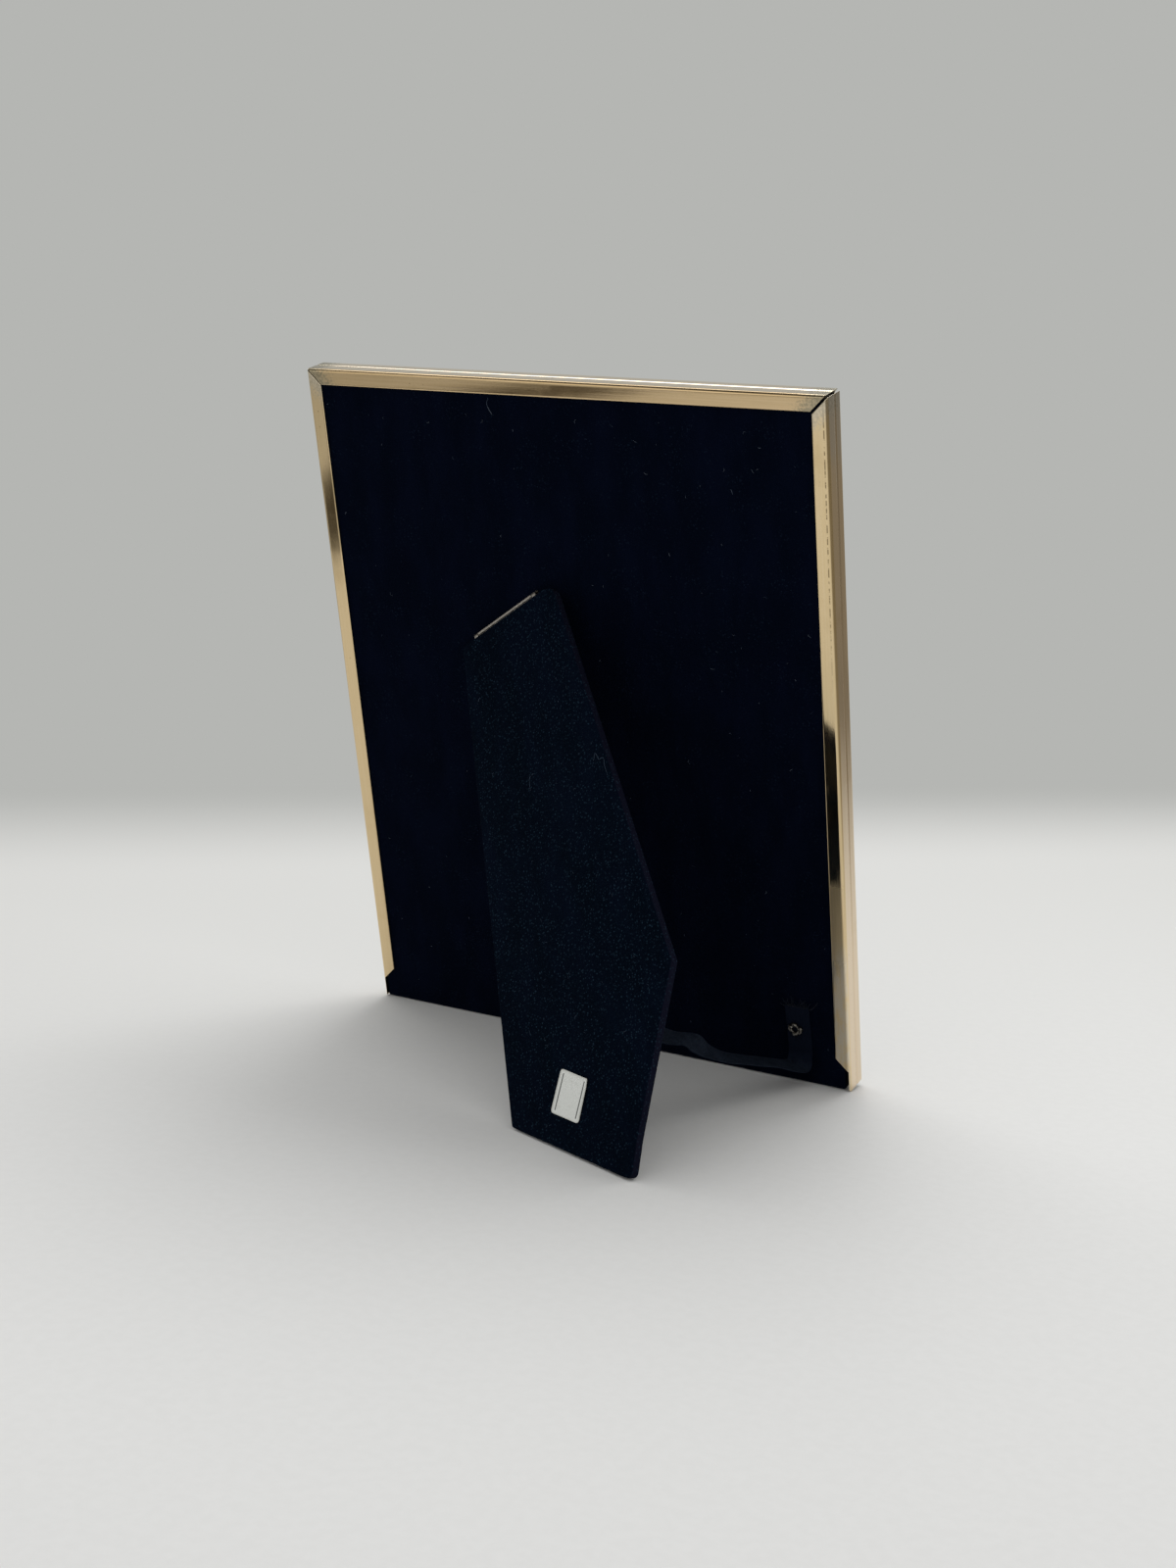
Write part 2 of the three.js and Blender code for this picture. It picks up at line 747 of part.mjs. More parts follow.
function ribbon() {
  const points = ribbonPath();
  const acrossBoard = new THREE.Vector3(1, 0, 0);
  const acrossLeg = acrossBoard.clone().applyAxisAngle(new THREE.Vector3(0, 0, 1), hingeAngle);
  const steps = (points.length - 1) * ribbonStepsPerSpan;
  const curve = new THREE.CatmullRomCurve3(points, false, "centripetal");
  const stations = Array.from({ length: steps + 1 }, (_, i) => {
    const share = i / steps;
    const turned = THREE.MathUtils.smoothstep(share, ribbonTwistFrom, ribbonTwistTo);
    return { at: curve.getPoint(share), across: acrossBoard.clone().lerp(acrossLeg, turned).normalize() };
  });
  const through = 2 * seat + ribbonThickness + overrun;
  const boardHole = bar(rivetHoleRadius, boardBack, boardBack + through, boardRivetX, boardRivetY);
  const legHole = bar(rivetHoleRadius, legInner - through, legInner, legRivetX, legRivetY)
    .applyMatrix4(leg.matrix)
    .applyMatrix4(hinge.matrix);
  return piece("ribbon", cut(strap(stations), boardHole, legHole), grosgrain);
}

// The whole frame, stood up from the view from behind and leaned back on its leg

leg.add(...legPieces());
hinge.add(
  piece("hinge_board_leaf", hingeBoardLeaf(), steel),
  piece("hinge_pin", rod(pinRadius, -hingeLength / 2, hingeLength / 2), steel),
);

const panel = new THREE.Group();
panel.add(...rails(), ...cornerKeys(), ...contents(), ...boardPieces(), hinge, ribbon());
panel.quaternion.setFromRotationMatrix(
  new THREE.Matrix4().makeBasis(
    new THREE.Vector3(-1, 0, 0),
    new THREE.Vector3(0, 0, 1),
    new THREE.Vector3(0, 1, 0),
  ),
);

const stand = new THREE.Group();
stand.rotation.x = -lean;
stand.add(panel);

const photoFrame = new THREE.Group();
photoFrame.add(stand);
photoFrame.updateMatrixWorld(true);
const bounds = new THREE.Box3().setFromObject(photoFrame, true);
const middle = bounds.getCenter(new THREE.Vector3());
stand.position.set(-middle.x, -middle.y, -bounds.min.z);

export default photoFrame;
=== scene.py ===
import random
from math import atan2, cos, exp, hypot, pi, radians, sin, sqrt, tan

import bmesh
import bpy
from mathutils import Matrix, Vector, noise


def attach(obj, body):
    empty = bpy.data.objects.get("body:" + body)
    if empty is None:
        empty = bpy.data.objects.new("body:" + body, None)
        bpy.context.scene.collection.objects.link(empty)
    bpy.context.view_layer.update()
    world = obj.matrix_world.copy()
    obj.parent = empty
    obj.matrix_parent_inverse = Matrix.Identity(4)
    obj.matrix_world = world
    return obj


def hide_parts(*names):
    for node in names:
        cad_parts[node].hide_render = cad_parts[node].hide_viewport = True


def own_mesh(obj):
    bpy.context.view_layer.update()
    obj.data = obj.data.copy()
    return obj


# A metal photo frame with a velvet easel back, seen from behind.
# Sizes are in millimetres in the frame's own plane, and onPanel and onLeg turn them into places
# in metres.
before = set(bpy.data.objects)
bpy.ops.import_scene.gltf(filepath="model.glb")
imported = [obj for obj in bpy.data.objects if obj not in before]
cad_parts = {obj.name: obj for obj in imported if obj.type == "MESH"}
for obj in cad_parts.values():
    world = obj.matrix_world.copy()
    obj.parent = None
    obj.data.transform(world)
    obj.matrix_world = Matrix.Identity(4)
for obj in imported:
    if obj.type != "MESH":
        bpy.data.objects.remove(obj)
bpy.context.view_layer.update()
print("loaded", len(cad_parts), "nodes")


metre = 0.001  # metres in a millimetre
overrun = 1  # how far a cutting shape runs past what it cuts
stance = {
    "lean": radians(14.4),
    "foot": Vector((0, -0.070737, 0.002518)),
    "hinge": Vector((-26.5, 172.7, 12.5)),
    "hingeTurn": radians(35.1),
    "legOpening": radians(35),
}

panelUp = Vector((0, sin(stance["lean"]), cos(stance["lean"])))
panelBack = Vector((0, cos(stance["lean"]), -sin(stance["lean"])))
panelAxes = Matrix((Vector((-1, 0, 0)), panelUp, panelBack)).transposed()
hingeTurn = Matrix.Rotation(stance["hingeTurn"], 3, "Z")
legTurn = hingeTurn @ Matrix.Rotation(-stance["legOpening"], 3, "X")


def onPanel(x, y, z):
    # x to the right as seen from behind, y up from the foot, z back from the front face
    return stance["foot"] + panelAxes @ Vector((x, y, z)) * metre


def onLeg(x, y, z):
    # x along the hinge, y up towards it, z out from the hinge's axis
    return onPanel(*(stance["hinge"] + legTurn @ Vector((x, y, z))))


# the axes and origins that the finishes are laid out in
panelPlace = (panelAxes, stance["foot"])
legPlace = (panelAxes @ legTurn, onPanel(*stance["hinge"]))


def mixed(a, b, share):
    return a + (b - a) * share


def eased(value, low, high):
    share = min(max((value - low) / (high - low), 0), 1)
    return share * share * (3 - 2 * share)


def colour(red, green, blue):
    # a colour as it is seen on screen, turned linear
    def straight(value):
        value /= 255
        return value / 12.92 if value <= 0.04045 else ((value + 0.055) / 1.055) ** 2.4

    return (straight(red), straight(green), straight(blue), 1)


def arithmetic(operation):
    # an operator of Wire, and its reflected form
    def plain(self, other):
        return self.calc(operation, self, other)

    def reflected(self, other):
        return self.calc(operation, other, self)

    return plain, reflected


class Wire:
    # an output socket that takes plain arithmetic, with a tuple where it carries a vector
    def __init__(self, finish, socket):
        self.finish = finish
        self.socket = socket

    def calc(self, operation, *values):
        kind = "Vector" if any(isinstance(value, tuple) for value in values) else ""
        sockets = dict(enumerate(values))
        return self.finish.add(kind + "Math", {"operation": operation}, sockets)

    __add__, __radd__ = arithmetic("ADD")
    __sub__, __rsub__ = arithmetic("SUBTRACT")
    __mul__, __rmul__ = arithmetic("MULTIPLY")
    __truediv__, __rtruediv__ = arithmetic("DIVIDE")
    __pow__, __rpow__ = arithmetic("POWER")

    def __abs__(self):
        return self.calc("ABSOLUTE", self)

    def least(self, other):
        return self.calc("MINIMUM", self, other)

    def most(self, other):
        return self.calc("MAXIMUM", self, other)

    def between(self, low, high):
        # 0 up to low and 1 from high on, or the other way round if low is the higher
        sockets = {"Value": self, "From Min": low, "From Max": high}
        return self.finish.add("MapRange", {"interpolation_type": "SMOOTHSTEP"}, sockets)


class Finish:
    # a material, or the world, built up node by node
    def __init__(self, name, kind="Material"):
        blocks = {"Material": bpy.data.materials, "World": bpy.data.worlds}[kind]
        self.kind = kind
        self.material = blocks.new(name)
        self.material.use_nodes = True
        self.tree = self.material.node_tree
        self.tree.nodes.clear()

    def socket(self, sockets, key):
        # by its number, its identifier or its name
        if isinstance(key, int):
            return sockets[key]
        inUse = (found for found in sockets if found.enabled)
        return next(found for found in inUse if key in (found.identifier, found.name))

    def add(self, kind, settings=None, sockets=None, output=0):
        node = self.tree.nodes.new("ShaderNode" + kind)
        for name, value in (settings or {}).items():
            setattr(node, name, value)
        for key, value in (sockets or {}).items():
            target = self.socket(node.inputs, key)
            if isinstance(value, Wire):
                self.tree.links.new(value.socket, target)
            else:
                target.default_value = value
        return Wire(self, self.socket(node.outputs, output))

    def blend(self, share, first, second):
        sockets = {"Factor_Float": share, "A_Color": first, "B_Color": second}
        return self.add("Mix", {"data_type": "RGBA"}, sockets, "Result_Color")

    def places(self, within=panelPlace):
        # millimetres within the given axes and origin
        axes, origin = within
        turn = axes.transposed()
        here = self.add("TexCoord", output="Object")
        sockets = {
            "Vector": here,
            "Location": -(turn @ origin) / metre,
            "Rotation": turn.to_euler("XYZ"),
            "Scale": (1 / metre,) * 3,
        }
        return self.add("Mapping", None, sockets)

    def parts(self, place):
        split = self.add("SeparateXYZ", None, {0: place})
        return [Wire(self, output) for output in split.socket.node.outputs]

    def clouds(self, place, *values):
        sockets = dict(zip(("Scale", "Detail", "Roughness", "Distortion"), values))
        return self.add("TexNoise", None, {"Vector": place, **sockets}, "Fac")

    def cells(self, place, scale):
        return self.add("TexVoronoi", None, {"Vector": place, "Scale": scale}, "Distance")

    def bumps(self, height, strength, distance):
        sockets = {"Height": height, "Strength": strength, "Distance": distance}
        return self.add("Bump", None, sockets)

    def surface(self, sockets):
        return self.finish(self.add("BsdfPrincipled", None, sockets))

    def finish(self, shader):
        out = self.tree.nodes.new("ShaderNodeOutput" + self.kind)
        self.tree.links.new(shader.socket, out.inputs["Surface"])
        return self.material


def placed(name, data):
    thing = bpy.data.objects.new(name, data)
    bpy.context.scene.collection.objects.link(thing)
    return thing


def makePiece(name, points, faces, material, body=None, replaces=(), sharp=30):
    mesh = bpy.data.meshes.new(name)
    mesh.from_pydata([tuple(point) for point in points], [], faces)
    mesh.validate()
    work = bmesh.new()
    work.from_mesh(mesh)
    bmesh.ops.recalc_face_normals(work, faces=work.faces)
    work.to_mesh(mesh)
    work.free()
    piece = placed(name, mesh)
    mesh.materials.append(material)
    smooth(piece, sharp)
    if body:
        ridden(piece, body, replaces)
    return piece


def ridden(piece, body, replaces=()):
    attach(piece, body)
    if replaces:
        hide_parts(*replaces)


def smooth(piece, sharp):
    mesh = piece.data
    mesh.polygons.foreach_set("use_smooth", [True] * len(mesh.polygons))
    mesh.set_sharp_from_angle(angle=radians(sharp))


def cutAway(piece, tools, sharp):
    for tool in tools:
        modifier = piece.modifiers.new("cut", "BOOLEAN")
        modifier.operation = "DIFFERENCE"
        modifier.solver = "EXACT"
        modifier.object = tool
    bpy.context.view_layer.update()
    depsgraph = bpy.context.evaluated_depsgraph_get()
    mesh = bpy.data.meshes.new_from_object(piece.evaluated_get(depsgraph))
    piece.modifiers.clear()
    piece.data = mesh
    smooth(piece, sharp)
    for tool in tools:
        bpy.data.objects.remove(tool)


def grid(rings, first=0):
    # quads between neighbouring rings of points, all rings being equally long
    faces = []
    count = len(rings[0])
    for i in range(len(rings) - 1):
        for k in range(count):
            a = first + i * count + k
            b = first + i * count + (k + 1) % count
            faces.append((a, b, b + count, a + count))
    return faces


def strand(rings):
    # the points and faces of a solid through rings of points, closed with one face at each end
    points = [p for ring in rings for p in ring]
    count = len(rings[0])
    last = len(points) - count
    ends = [tuple(range(count))[::-1], tuple(range(last, last + count))]
    return points, grid(rings) + ends


def bentSheet(rings):
    # the same for a sheet, each ring going out along one side of it and back along the other
    points = [p for ring in rings for p in ring]
    count = len(rings[0])
    faces = grid(rings)
    for first in (0, len(points) - count):
        for k in range(count // 2 - 1):
            near, far = first + k, first + count - 1 - k
            faces.append((near, near + 1, far - 1, far))
    return points, faces


def gathered(parts):
    points, faces = [], []
    for partPoints, partFaces in parts:
        first = len(points)
        points += partPoints
        faces += [tuple(index + first for index in face) for face in partFaces]
    return points, faces


def heading(path, i):
    # the way that a path runs at one of its points
    return (path[min(i + 1, len(path) - 1)] - path[max(i - 1, 0)]).normalized()


def tube(path, radius, sides):
    # a round strand that tapers a little at both ends
    rings = []
    for i, point in enumerate(path):
        run = heading(path, i)
        side = run.orthogonal().normalized()
        other = run.cross(side)
        share = i / (len(path) - 1)
        size = radius * (0.45 + 0.55 * sin(pi * min(max(share, 0.04), 0.96)) ** 0.5)
        angles = [2 * pi * k / sides for k in range(sides)]
        rings.append([point + (side * cos(a) + other * sin(a)) * size for a in angles])
    return strand(rings)


def arc(centre, radius, start, end, steps):
    angles = [mixed(start, end, i / steps) for i in range(steps + 1)]
    x, y = centre
    return [Vector((x + radius * cos(a), y + radius * sin(a))) for a in angles]


def roundedOutline(corners, radii, steps=6):
    outline = []
    for i, corner in enumerate(corners):
        corner = Vector(corner)
        back = (Vector(corners[i - 1]) - corner).normalized()
        ahead = (Vector(corners[(i + 1) % len(corners)]) - corner).normalized()
        reach = radii[i] / tan(back.angle(ahead) / 2)
        start, end = corner + back * reach, corner + ahead * reach
        for k in range(steps + 1):
            share = k / steps
            outline.append(start.lerp(corner, share).lerp(corner.lerp(end, share), share))
    return outline


def inwards(before, after):
    # the way in at a corner, and how much of a step along it counts away from both sides
    first, second = before.normalized(), after.normalized()
    inward = Vector((-first.y - second.y, first.x + second.x)).normalized()
    return inward, inward.x * -second.y + inward.y * second.x


def insetCorners(corners, distance):
    moved = []
    for i, corner in enumerate(corners):
        corner = Vector(corner)
        before = corner - Vector(corners[i - 1])
        after = Vector(corners[(i + 1) % len(corners)]) - corner
        inward, share = inwards(before, after)
        moved.append(corner + inward * (distance / share))
    return moved


def prism(name, outline, low, high, place, material, rounding=0):
    # an outline with thickness, whose two rims may be rounded
    points = [place(p.x, p.y, z) for z in (low, high) for p in outline]
    count = len(outline)
    faces = [tuple(range(count))[::-1], tuple(range(count, 2 * count))]
    faces += [(k, (k + 1) % count, (k + 1) % count + count, k + count) for k in range(count)]
    piece = makePiece(name, points, faces, material)
    if rounding:
        work = bmesh.new()
        work.from_mesh(piece.data)
        work.faces.ensure_lookup_table()
        rims = [work.faces[k].edges[:] for k in (0, 1)]
        for edges in rims:
            bmesh.ops.bevel(
                work,
                geom=[edge for edge in edges if edge.is_valid],
                offset=rounding * metre,
                segments=4,
                profile=0.5,
                affect="EDGES",
                clamp_overlap=True,
            )
        work.to_mesh(piece.data)
        work.free()
    smooth(piece, 35)
    return piece


rail = {
    "width": 206.0,
    "height": 260.0,
    "depth": 12.0,
    "sheet": 0.6,
    "backLip": 5.65,
    "frontLip": 6.4,
    "backFold": 1.2,
    "frontFold": 2.0,
    "groove": 5.8,  # its middle, from the front face
    "grooveWidth": 1.5,
    "grooveDepth": 0.2,
    "grooveSteps": 8,
    "foldSteps": 12,
    "wallEnd": 7.2,  # where the bottom rail's wall stops, from the front face
    "mitre": 0.3,
    "openMitre": 0.9,
    # from a cut edge, and how far it is worn round there
    "edge": [(0, 0.3), (0.12, 0.1), (0.3, 0), (0.5, 0)],
    "rounding": 0.8,  # how much of the wear comes off either side
    "hold": 0.18,  # from a fold, how soon the sheet is flat
    "crown": 0.012,  # how far the lips swell
    "wave": 0.02,  # how far the rolled sheet wanders, over which lengths, and unlike its neighbour
    "waveLength": 16.0,
    "waveAcross": 9,
    "waveApart": 11,
    "step": 3.0,
    "lipCut": 8.1,
}
# along each way: the plating, the walls and the worn mitres. The rails across are painted a shade
# darker than the upright ones, a painted shade for the darker reflections in their lips, and their
# walls are painted palest, a painted highlight
railShades = {
    "x": {
        "plating": (colour(218, 192, 152), colour(208, 182, 140)),
        "wall": (colour(254, 243, 224), colour(244, 229, 208)),
        "worn": (colour(142, 138, 118), colour(178, 170, 148)),
    },
    "y": {
        "plating": (colour(232, 209, 167), colour(226, 202, 157)),
        "wall": (colour(236, 218, 194), colour(222, 202, 176)),
        "worn": (colour(196, 187, 166), colour(222, 214, 198)),
    },
}


def sideRailWearAndReflection(look, place, fromWall, aged):
    # the marks of the side rails, with a painted dark reflection on the left one: their colour, and
    # where the shine is hazy
    x, y, z = look.parts(place)
    onRight, onLip = x.between(0, 40), z.between(10.8, 11.6)
    # a mottled stretch high on the rail to the left, seen from behind: part tarnish, part painted
    # dark reflection
    fleck = look.clouds(place * (1, 0.25, 1), 1.2, 4, 0.65)
    stretch = y.between(186, 194) * y.between(232, 214) * x.between(40, 0)
    tarnishAndPaintedReflection = (stretch + (fleck - 0.5) * 1.1 * stretch).between(0.3, 1.1)
    aged = look.blend(tarnishAndPaintedReflection * 0.5, aged, colour(134, 118, 88))
    # a rubbed line just inside the fold of the rail to the right
    dash = look.clouds(place * (0.2, 0.5, 0.2), 1.5, 2, 0.7)
    line = abs(fromWall - 1.5).between(0.3, 0.1) * y.between(150, 196) * onRight
    rubbed = line * dash.between(0.42, 0.55) * z.between(11, 11.8)
    aged = look.blend(rubbed * 0.75, aged, colour(96, 78, 50))
    # a hazy stretch low on the same rail
    haze = look.clouds(place * (1, 0.3, 1), 0.5, 4, 0.65)
    dull = y.between(66, 50) * onRight * haze.between(0.3, 0.6) * onLip
    aged = look.blend(dull * 0.7, aged, colour(222, 214, 198))
    return aged, y.between(88, 83) * y.between(40, 56) * onRight * onLip


def railFinish(name, along):
    # polished gold-tone plating, rolled along the rail, tarnished in patches and worn grey at
    # the mitres
    look = Finish(name)
    shades = railShades[along]
    place = look.places()
    x, y, z = look.parts(place)
    toSide, toTop = rail["width"] / 2 - abs(x), rail["height"] - y
    toCorner, fromWall = (toSide, toTop) if along == "x" else (toTop, toSide)
    rolled = place * ((0.02, 1, 1) if along == "x" else (1, 0.02, 1))
    streaks = look.clouds(rolled, 1.6, 3, 0.5)
    fineStreaks = look.clouds(rolled, 7, 2, 0.5)
    patches = look.clouds(place, 0.045, 4, 0.62, 0.4).between(0.5, 0.75)
    specks = look.clouds(place, 1.1, 3, 0.6)
    pits = look.cells(place, 0.33).between(0.1, 0.05) * specks.between(0.5, 0.62)
    worn = (toCorner - fromWall * 0.7 + (specks - 0.5) * 16).between(11, 2)
    grey = look.blend(specks.between(0.35, 0.7), *shades["worn"])

    warm = look.blend(streaks.between(0.3, 0.7), *shades["plating"])
    if along == "y":
        # the rail to the left is a shade darker
        warm = look.blend(x.between(20, -20) * 0.5, warm, colour(214, 190, 150))
    # painted highlight: the walls are painted paler than the lips, for the brighter light they
    # mirror
    wall = z.between(10.9, 10.2) * z.between(1.2, 2.2)
    warm = look.blend(wall * 0.8, warm, look.blend(streaks, *shades["wall"]))
    aged = look.blend(patches * 0.35, warm, colour(206, 180, 136))
    roughness = 0.06 + fineStreaks * 0.05 + patches * 0.05 + worn * 0.12
    if along == "y":
        aged, hazy = sideRailWearAndReflection(look, place, fromWall, aged)
        roughness = roughness + hazy * 0.2
    base = look.blend(worn * 0.8, aged, grey)
    base = look.blend(pits * 0.7, base, colour(108, 88, 58))
    height = streaks * 0.5 + fineStreaks * 0.12 + specks * 0.12 - pits
    return look.surface({
        "Base Color": base,
        "Metallic": 1,
        "Roughness": roughness,
        "Normal": look.bumps(height, 0.06, 0.0002),
    })


def railLine(hasBackLip):
    # the outer line of the section, w in from the wall and z back from the front face, each
    # point with how far the sheet is worn round there
    fold, front, depth = rail["backFold"], rail["frontFold"], rail["depth"]
    steps, hold = rail["foldSteps"], rail["hold"]
    reach = rail["edge"][-1][0]

    def unworn(points):
        return [(Vector(point), 0) for point in points]

    def lip(edge, bend, z, outward):
        points = []
        flats = [(mixed(reach, edge - bend - hold, share), 0) for share in (0.33, 0.67, 1)]
        for fromEdge, worn in rail["edge"] + flats + [(edge - bend, 0)]:
            swell = rail["crown"] * sin(pi * fromEdge / (edge - bend)) * outward
            points.append((Vector((edge - fromEdge, z + swell)), worn))
        return points

    top = rail["groove"] + rail["grooveWidth"] / 2
    foot = rail["groove"] - rail["grooveWidth"] / 2
    if hasBackLip:
        line = lip(rail["backLip"], fold, depth, 1)[:-1]
        line += unworn(arc((fold, depth - fold), fold, pi / 2, pi, steps))
        levels = (depth - fold - hold, mixed(depth - fold, top, 0.5), top + hold)
        line += unworn((0, z) for z in levels)
    else:
        line = [(Vector((0, rail["wallEnd"] - fromEdge)), worn) for fromEdge, worn in rail["edge"]]
    for i in range(rail["grooveSteps"] + 1):
        share = i / rail["grooveSteps"]
        w = rail["grooveDepth"] * sin(pi * share) ** 1.5
        line += unworn([(w, mixed(top, foot, share))])
    line += unworn((0, z) for z in (foot - hold, mixed(foot, front, 0.5), front + hold))
    line += unworn(arc((front, front), front, pi, 1.5 * pi, steps))
    return line + lip(rail["frontLip"], front, 0, -1)[-2::-1]


def railPiece(name, turns, startGap, endGap, material):
    # turns counts the rails anticlockwise as seen from behind, from the bottom one
    half, height, sheet = rail["width"] / 2, rail["height"], rail["sheet"]
    upright = turns in (1, 3)
    length = height if upright else rail["width"]
    section = railLine(hasBackLip=turns > 0)
    line = [point for point, worn in section]
    steps = []
    for i in range(len(line)):
        a, b = max(i, 1), min(i, len(line) - 2)
        inward, share = inwards(line[a] - line[a - 1], line[b + 1] - line[b])
        steps.append(inward / share * sheet)
    count = int(length / rail["step"])
    stations = [(0, fromEnd, worn) for fromEnd, worn in rail["edge"]]
    stations += [(i / count, 0, 0) for i in range(1, count)]
    stations += [(1, -fromEnd, worn) for fromEnd, worn in rail["edge"][::-1]]
    slip = sqrt(0.5)

    def place(w, z, share, shift):
        low, high = w + startGap * slip, length - w - endGap * slip
        s = mixed(low, high, share) + shift
        ways = [(-half + s, w), (half - w, s), (half - s, height - w), (-half + w, height - s)]
        return onPanel(*ways[turns], z)

    rings = []
    for share, shift, endWorn in stations:
        outer, inner = [], []
        for (point, worn), step in zip(section, steps):
            along = share * length / rail["waveLength"] + rail["waveApart"] * turns
            across = rail["waveAcross"]
            where = Vector((along, point.x / across, point.y / across))
            wave = rail["wave"] * noise.noise(where) * step.normalized()
            thinned = rail["rounding"] * max(worn, endWorn)
            near = point + step * thinned + wave
            far = point + step * (1 - thinned) + wave
            outer.append(place(near.x, near.y, share, shift))
            inner.append(place(far.x, far.y, share, shift))
        rings.append(outer + inner[::-1])
    points, faces = bentSheet(rings)
    piece = makePiece(name, points, faces, material, sharp=40)
    if upright:
        # the back lip is cut away above the foot, at 45 degrees
        edge, cut = rail["backLip"] + overrun, rail["lipCut"]
        corners = [(sheet, -overrun), (edge, -overrun), (edge, cut + edge), (sheet, cut + sheet)]
        side = 1 if turns == 1 else -1
        outline = [Vector((side * (half - w), y)) for w, y in corners]
        low, high = rail["depth"] - rail["backFold"], rail["depth"] + overrun
        cutAway(piece, [prism("lipCut", outline, low, high, onPanel, material)], 40)
    ridden(piece, "frame", [name[: -len("_metal")]])


goldAcross = railFinish("gold metal across", "x")
goldUp = railFinish("gold metal up", "y")
railPiece("bottom_rail_metal", 0, rail["mitre"], rail["mitre"], goldAcross)
railPiece("left_rail_metal", 1, rail["mitre"], rail["openMitre"], goldUp)
railPiece("top_rail_metal", 2, rail["openMitre"], rail["mitre"], goldAcross)
railPiece("right_rail_metal", 3, rail["mitre"], rail["mitre"], goldUp)
print("rails made")


velvet = {"thick": 0.6, "gap": 0.3, "rimRadius": 0.55}
board = {
    "corners": [(-102.0, 0.5), (100.6, 0.5), (100.6, 257.9), (-102.0, 257.9)],
    "radii": [0.8] * 4,
    "inner": 7.5,
    "outer": 11.1,
    "turnIn": 12,
    "shades": (colour(2, 6, 19), colour(4, 9, 25), colour(17, 26, 40)),
}
leg = {
    "corners": [
        (-23, -1.6), (-41.8, -180.771), (8.2, -215.9), (14, -204.6), (44.7, -154), (26.7, -1.6),
    ],
    "radii": [3.5, 1.5, 2.8, 6, 1.2, 6],
    "inner": -1.1,
    "outer": 2.3,
    "turnIn": 8,
    "shades": (colour(2, 8, 19), colour(4, 11, 25), colour(31, 48, 62)),
}


def velvetFinish(name, within, shades, grainAmount, sheen, rimHeight=None):
    dark, lit, grainColour = shades
    look = Finish(name)
    place = look.places(within)
    z = look.parts(place)[2]
    nap = look.clouds(place * (1, 0.35, 1), 0.09, 4, 0.6)
    pile = look.clouds(place, 3.2, 3, 0.7)
    tufts = look.clouds(place, 0.9, 3, 0.7)
    patches = look.clouds(place, 0.12, 3, 0.6).between(grainAmount, grainAmount + 0.2)
    base = look.blend(nap.between(0.35, 0.7), dark, lit)
    if rimHeight is not None:
        # the pile catches the light where it turns over the edge
        rim = z.between(rimHeight - 0.05, rimHeight - 0.5)
        base = look.blend(rim * 0.8, base, colour(19, 19, 33))
    grains = look.cells(place, 0.95).between(0.36, 0.14) * patches
    base = look.blend(grains * tufts.between(0.35, 0.6), base, grainColour)
    fuzz = pile.between(0.5, 0.75) * tufts.between(0.4, 0.7)
    base = look.blend(fuzz * 0.7, base, grainColour)
    return look.surface({
        "Base Color": base,
        "Roughness": 0.92 + pile * 0.08,
        "Specular IOR Level": 0.02,
        "Sheen Weight": sheen,
        "Sheen Roughness": 0.45,
        "Sheen Tint": colour(96, 104, 128),
        "Normal": look.bumps(pile * 0.6 + tufts, 0.55, 0.0004),
    })


def velvetCover(name, shape, place, material, body, replaces):
    # a cover over the outer side and round the edges, turned in over the rim of the inner side
    thick, low, high = velvet["thick"], shape["inner"], shape["outer"]
    within = [max(radius - thick, thick / 2) for radius in shape["radii"]]
    outline = roundedOutline(shape["corners"], shape["radii"])
    inside = roundedOutline(insetCorners(shape["corners"], thick), within)
    window = insetCorners(shape["corners"], shape["turnIn"])
    cover = prism(name, outline, low, high, place, material, velvet["rimRadius"])
    hollow = prism("hollow", inside, low + thick, high - thick, place, material)
    windowTop = low + thick + velvet["gap"]
    opening = prism("opening", window, low - overrun, windowTop, place, material)
    cutAway(cover, [hollow, opening], 35)
    ridden(cover, body, replaces)


boardVelvet = velvetFinish("board velvet", panelPlace, board["shades"], 0.45, 0.01)
legVelvet = velvetFinish("leg velvet", legPlace, leg["shades"], 0.3, 0.02, leg["outer"])
velvetCover("board_velvet", board, onPanel, boardVelvet, "back", ["back_board_velvet"])
velvetCover("leg_velvet_cover", leg, onLeg, legVelvet, "leg", ["leg_velvet"])
print("velvet made")


def smoothLine(points, steps):
    # a centripetal spline through the points
    ends = [points[0] * 2 - points[1], *points, points[-1] * 2 - points[-2]]
    line = []
    for i in range(1, len(ends) - 2):
        a, b, c, d = ends[i - 1 : i + 3]
        ab, bc, cd = ((q - p).length ** 0.5 for p, q in ((a, b), (b, c), (c, d)))
        leave = ((b - a) / ab - (c - a) / (ab + bc) + (c - b) / bc) * bc
        reach = ((c - b) / bc - (d - b) / (bc + cd) + (d - c) / cd) * bc
        for k in range(steps):
            s = k / steps
            line.append(
                b * (2 * s**3 - 3 * s**2 + 1)
                + leave * (s**3 - 2 * s**2 + s)
                + c * (3 * s**2 - 2 * s**3)
                + reach * (s**3 - s**2)
            )
    return line + [points[-1].copy()]


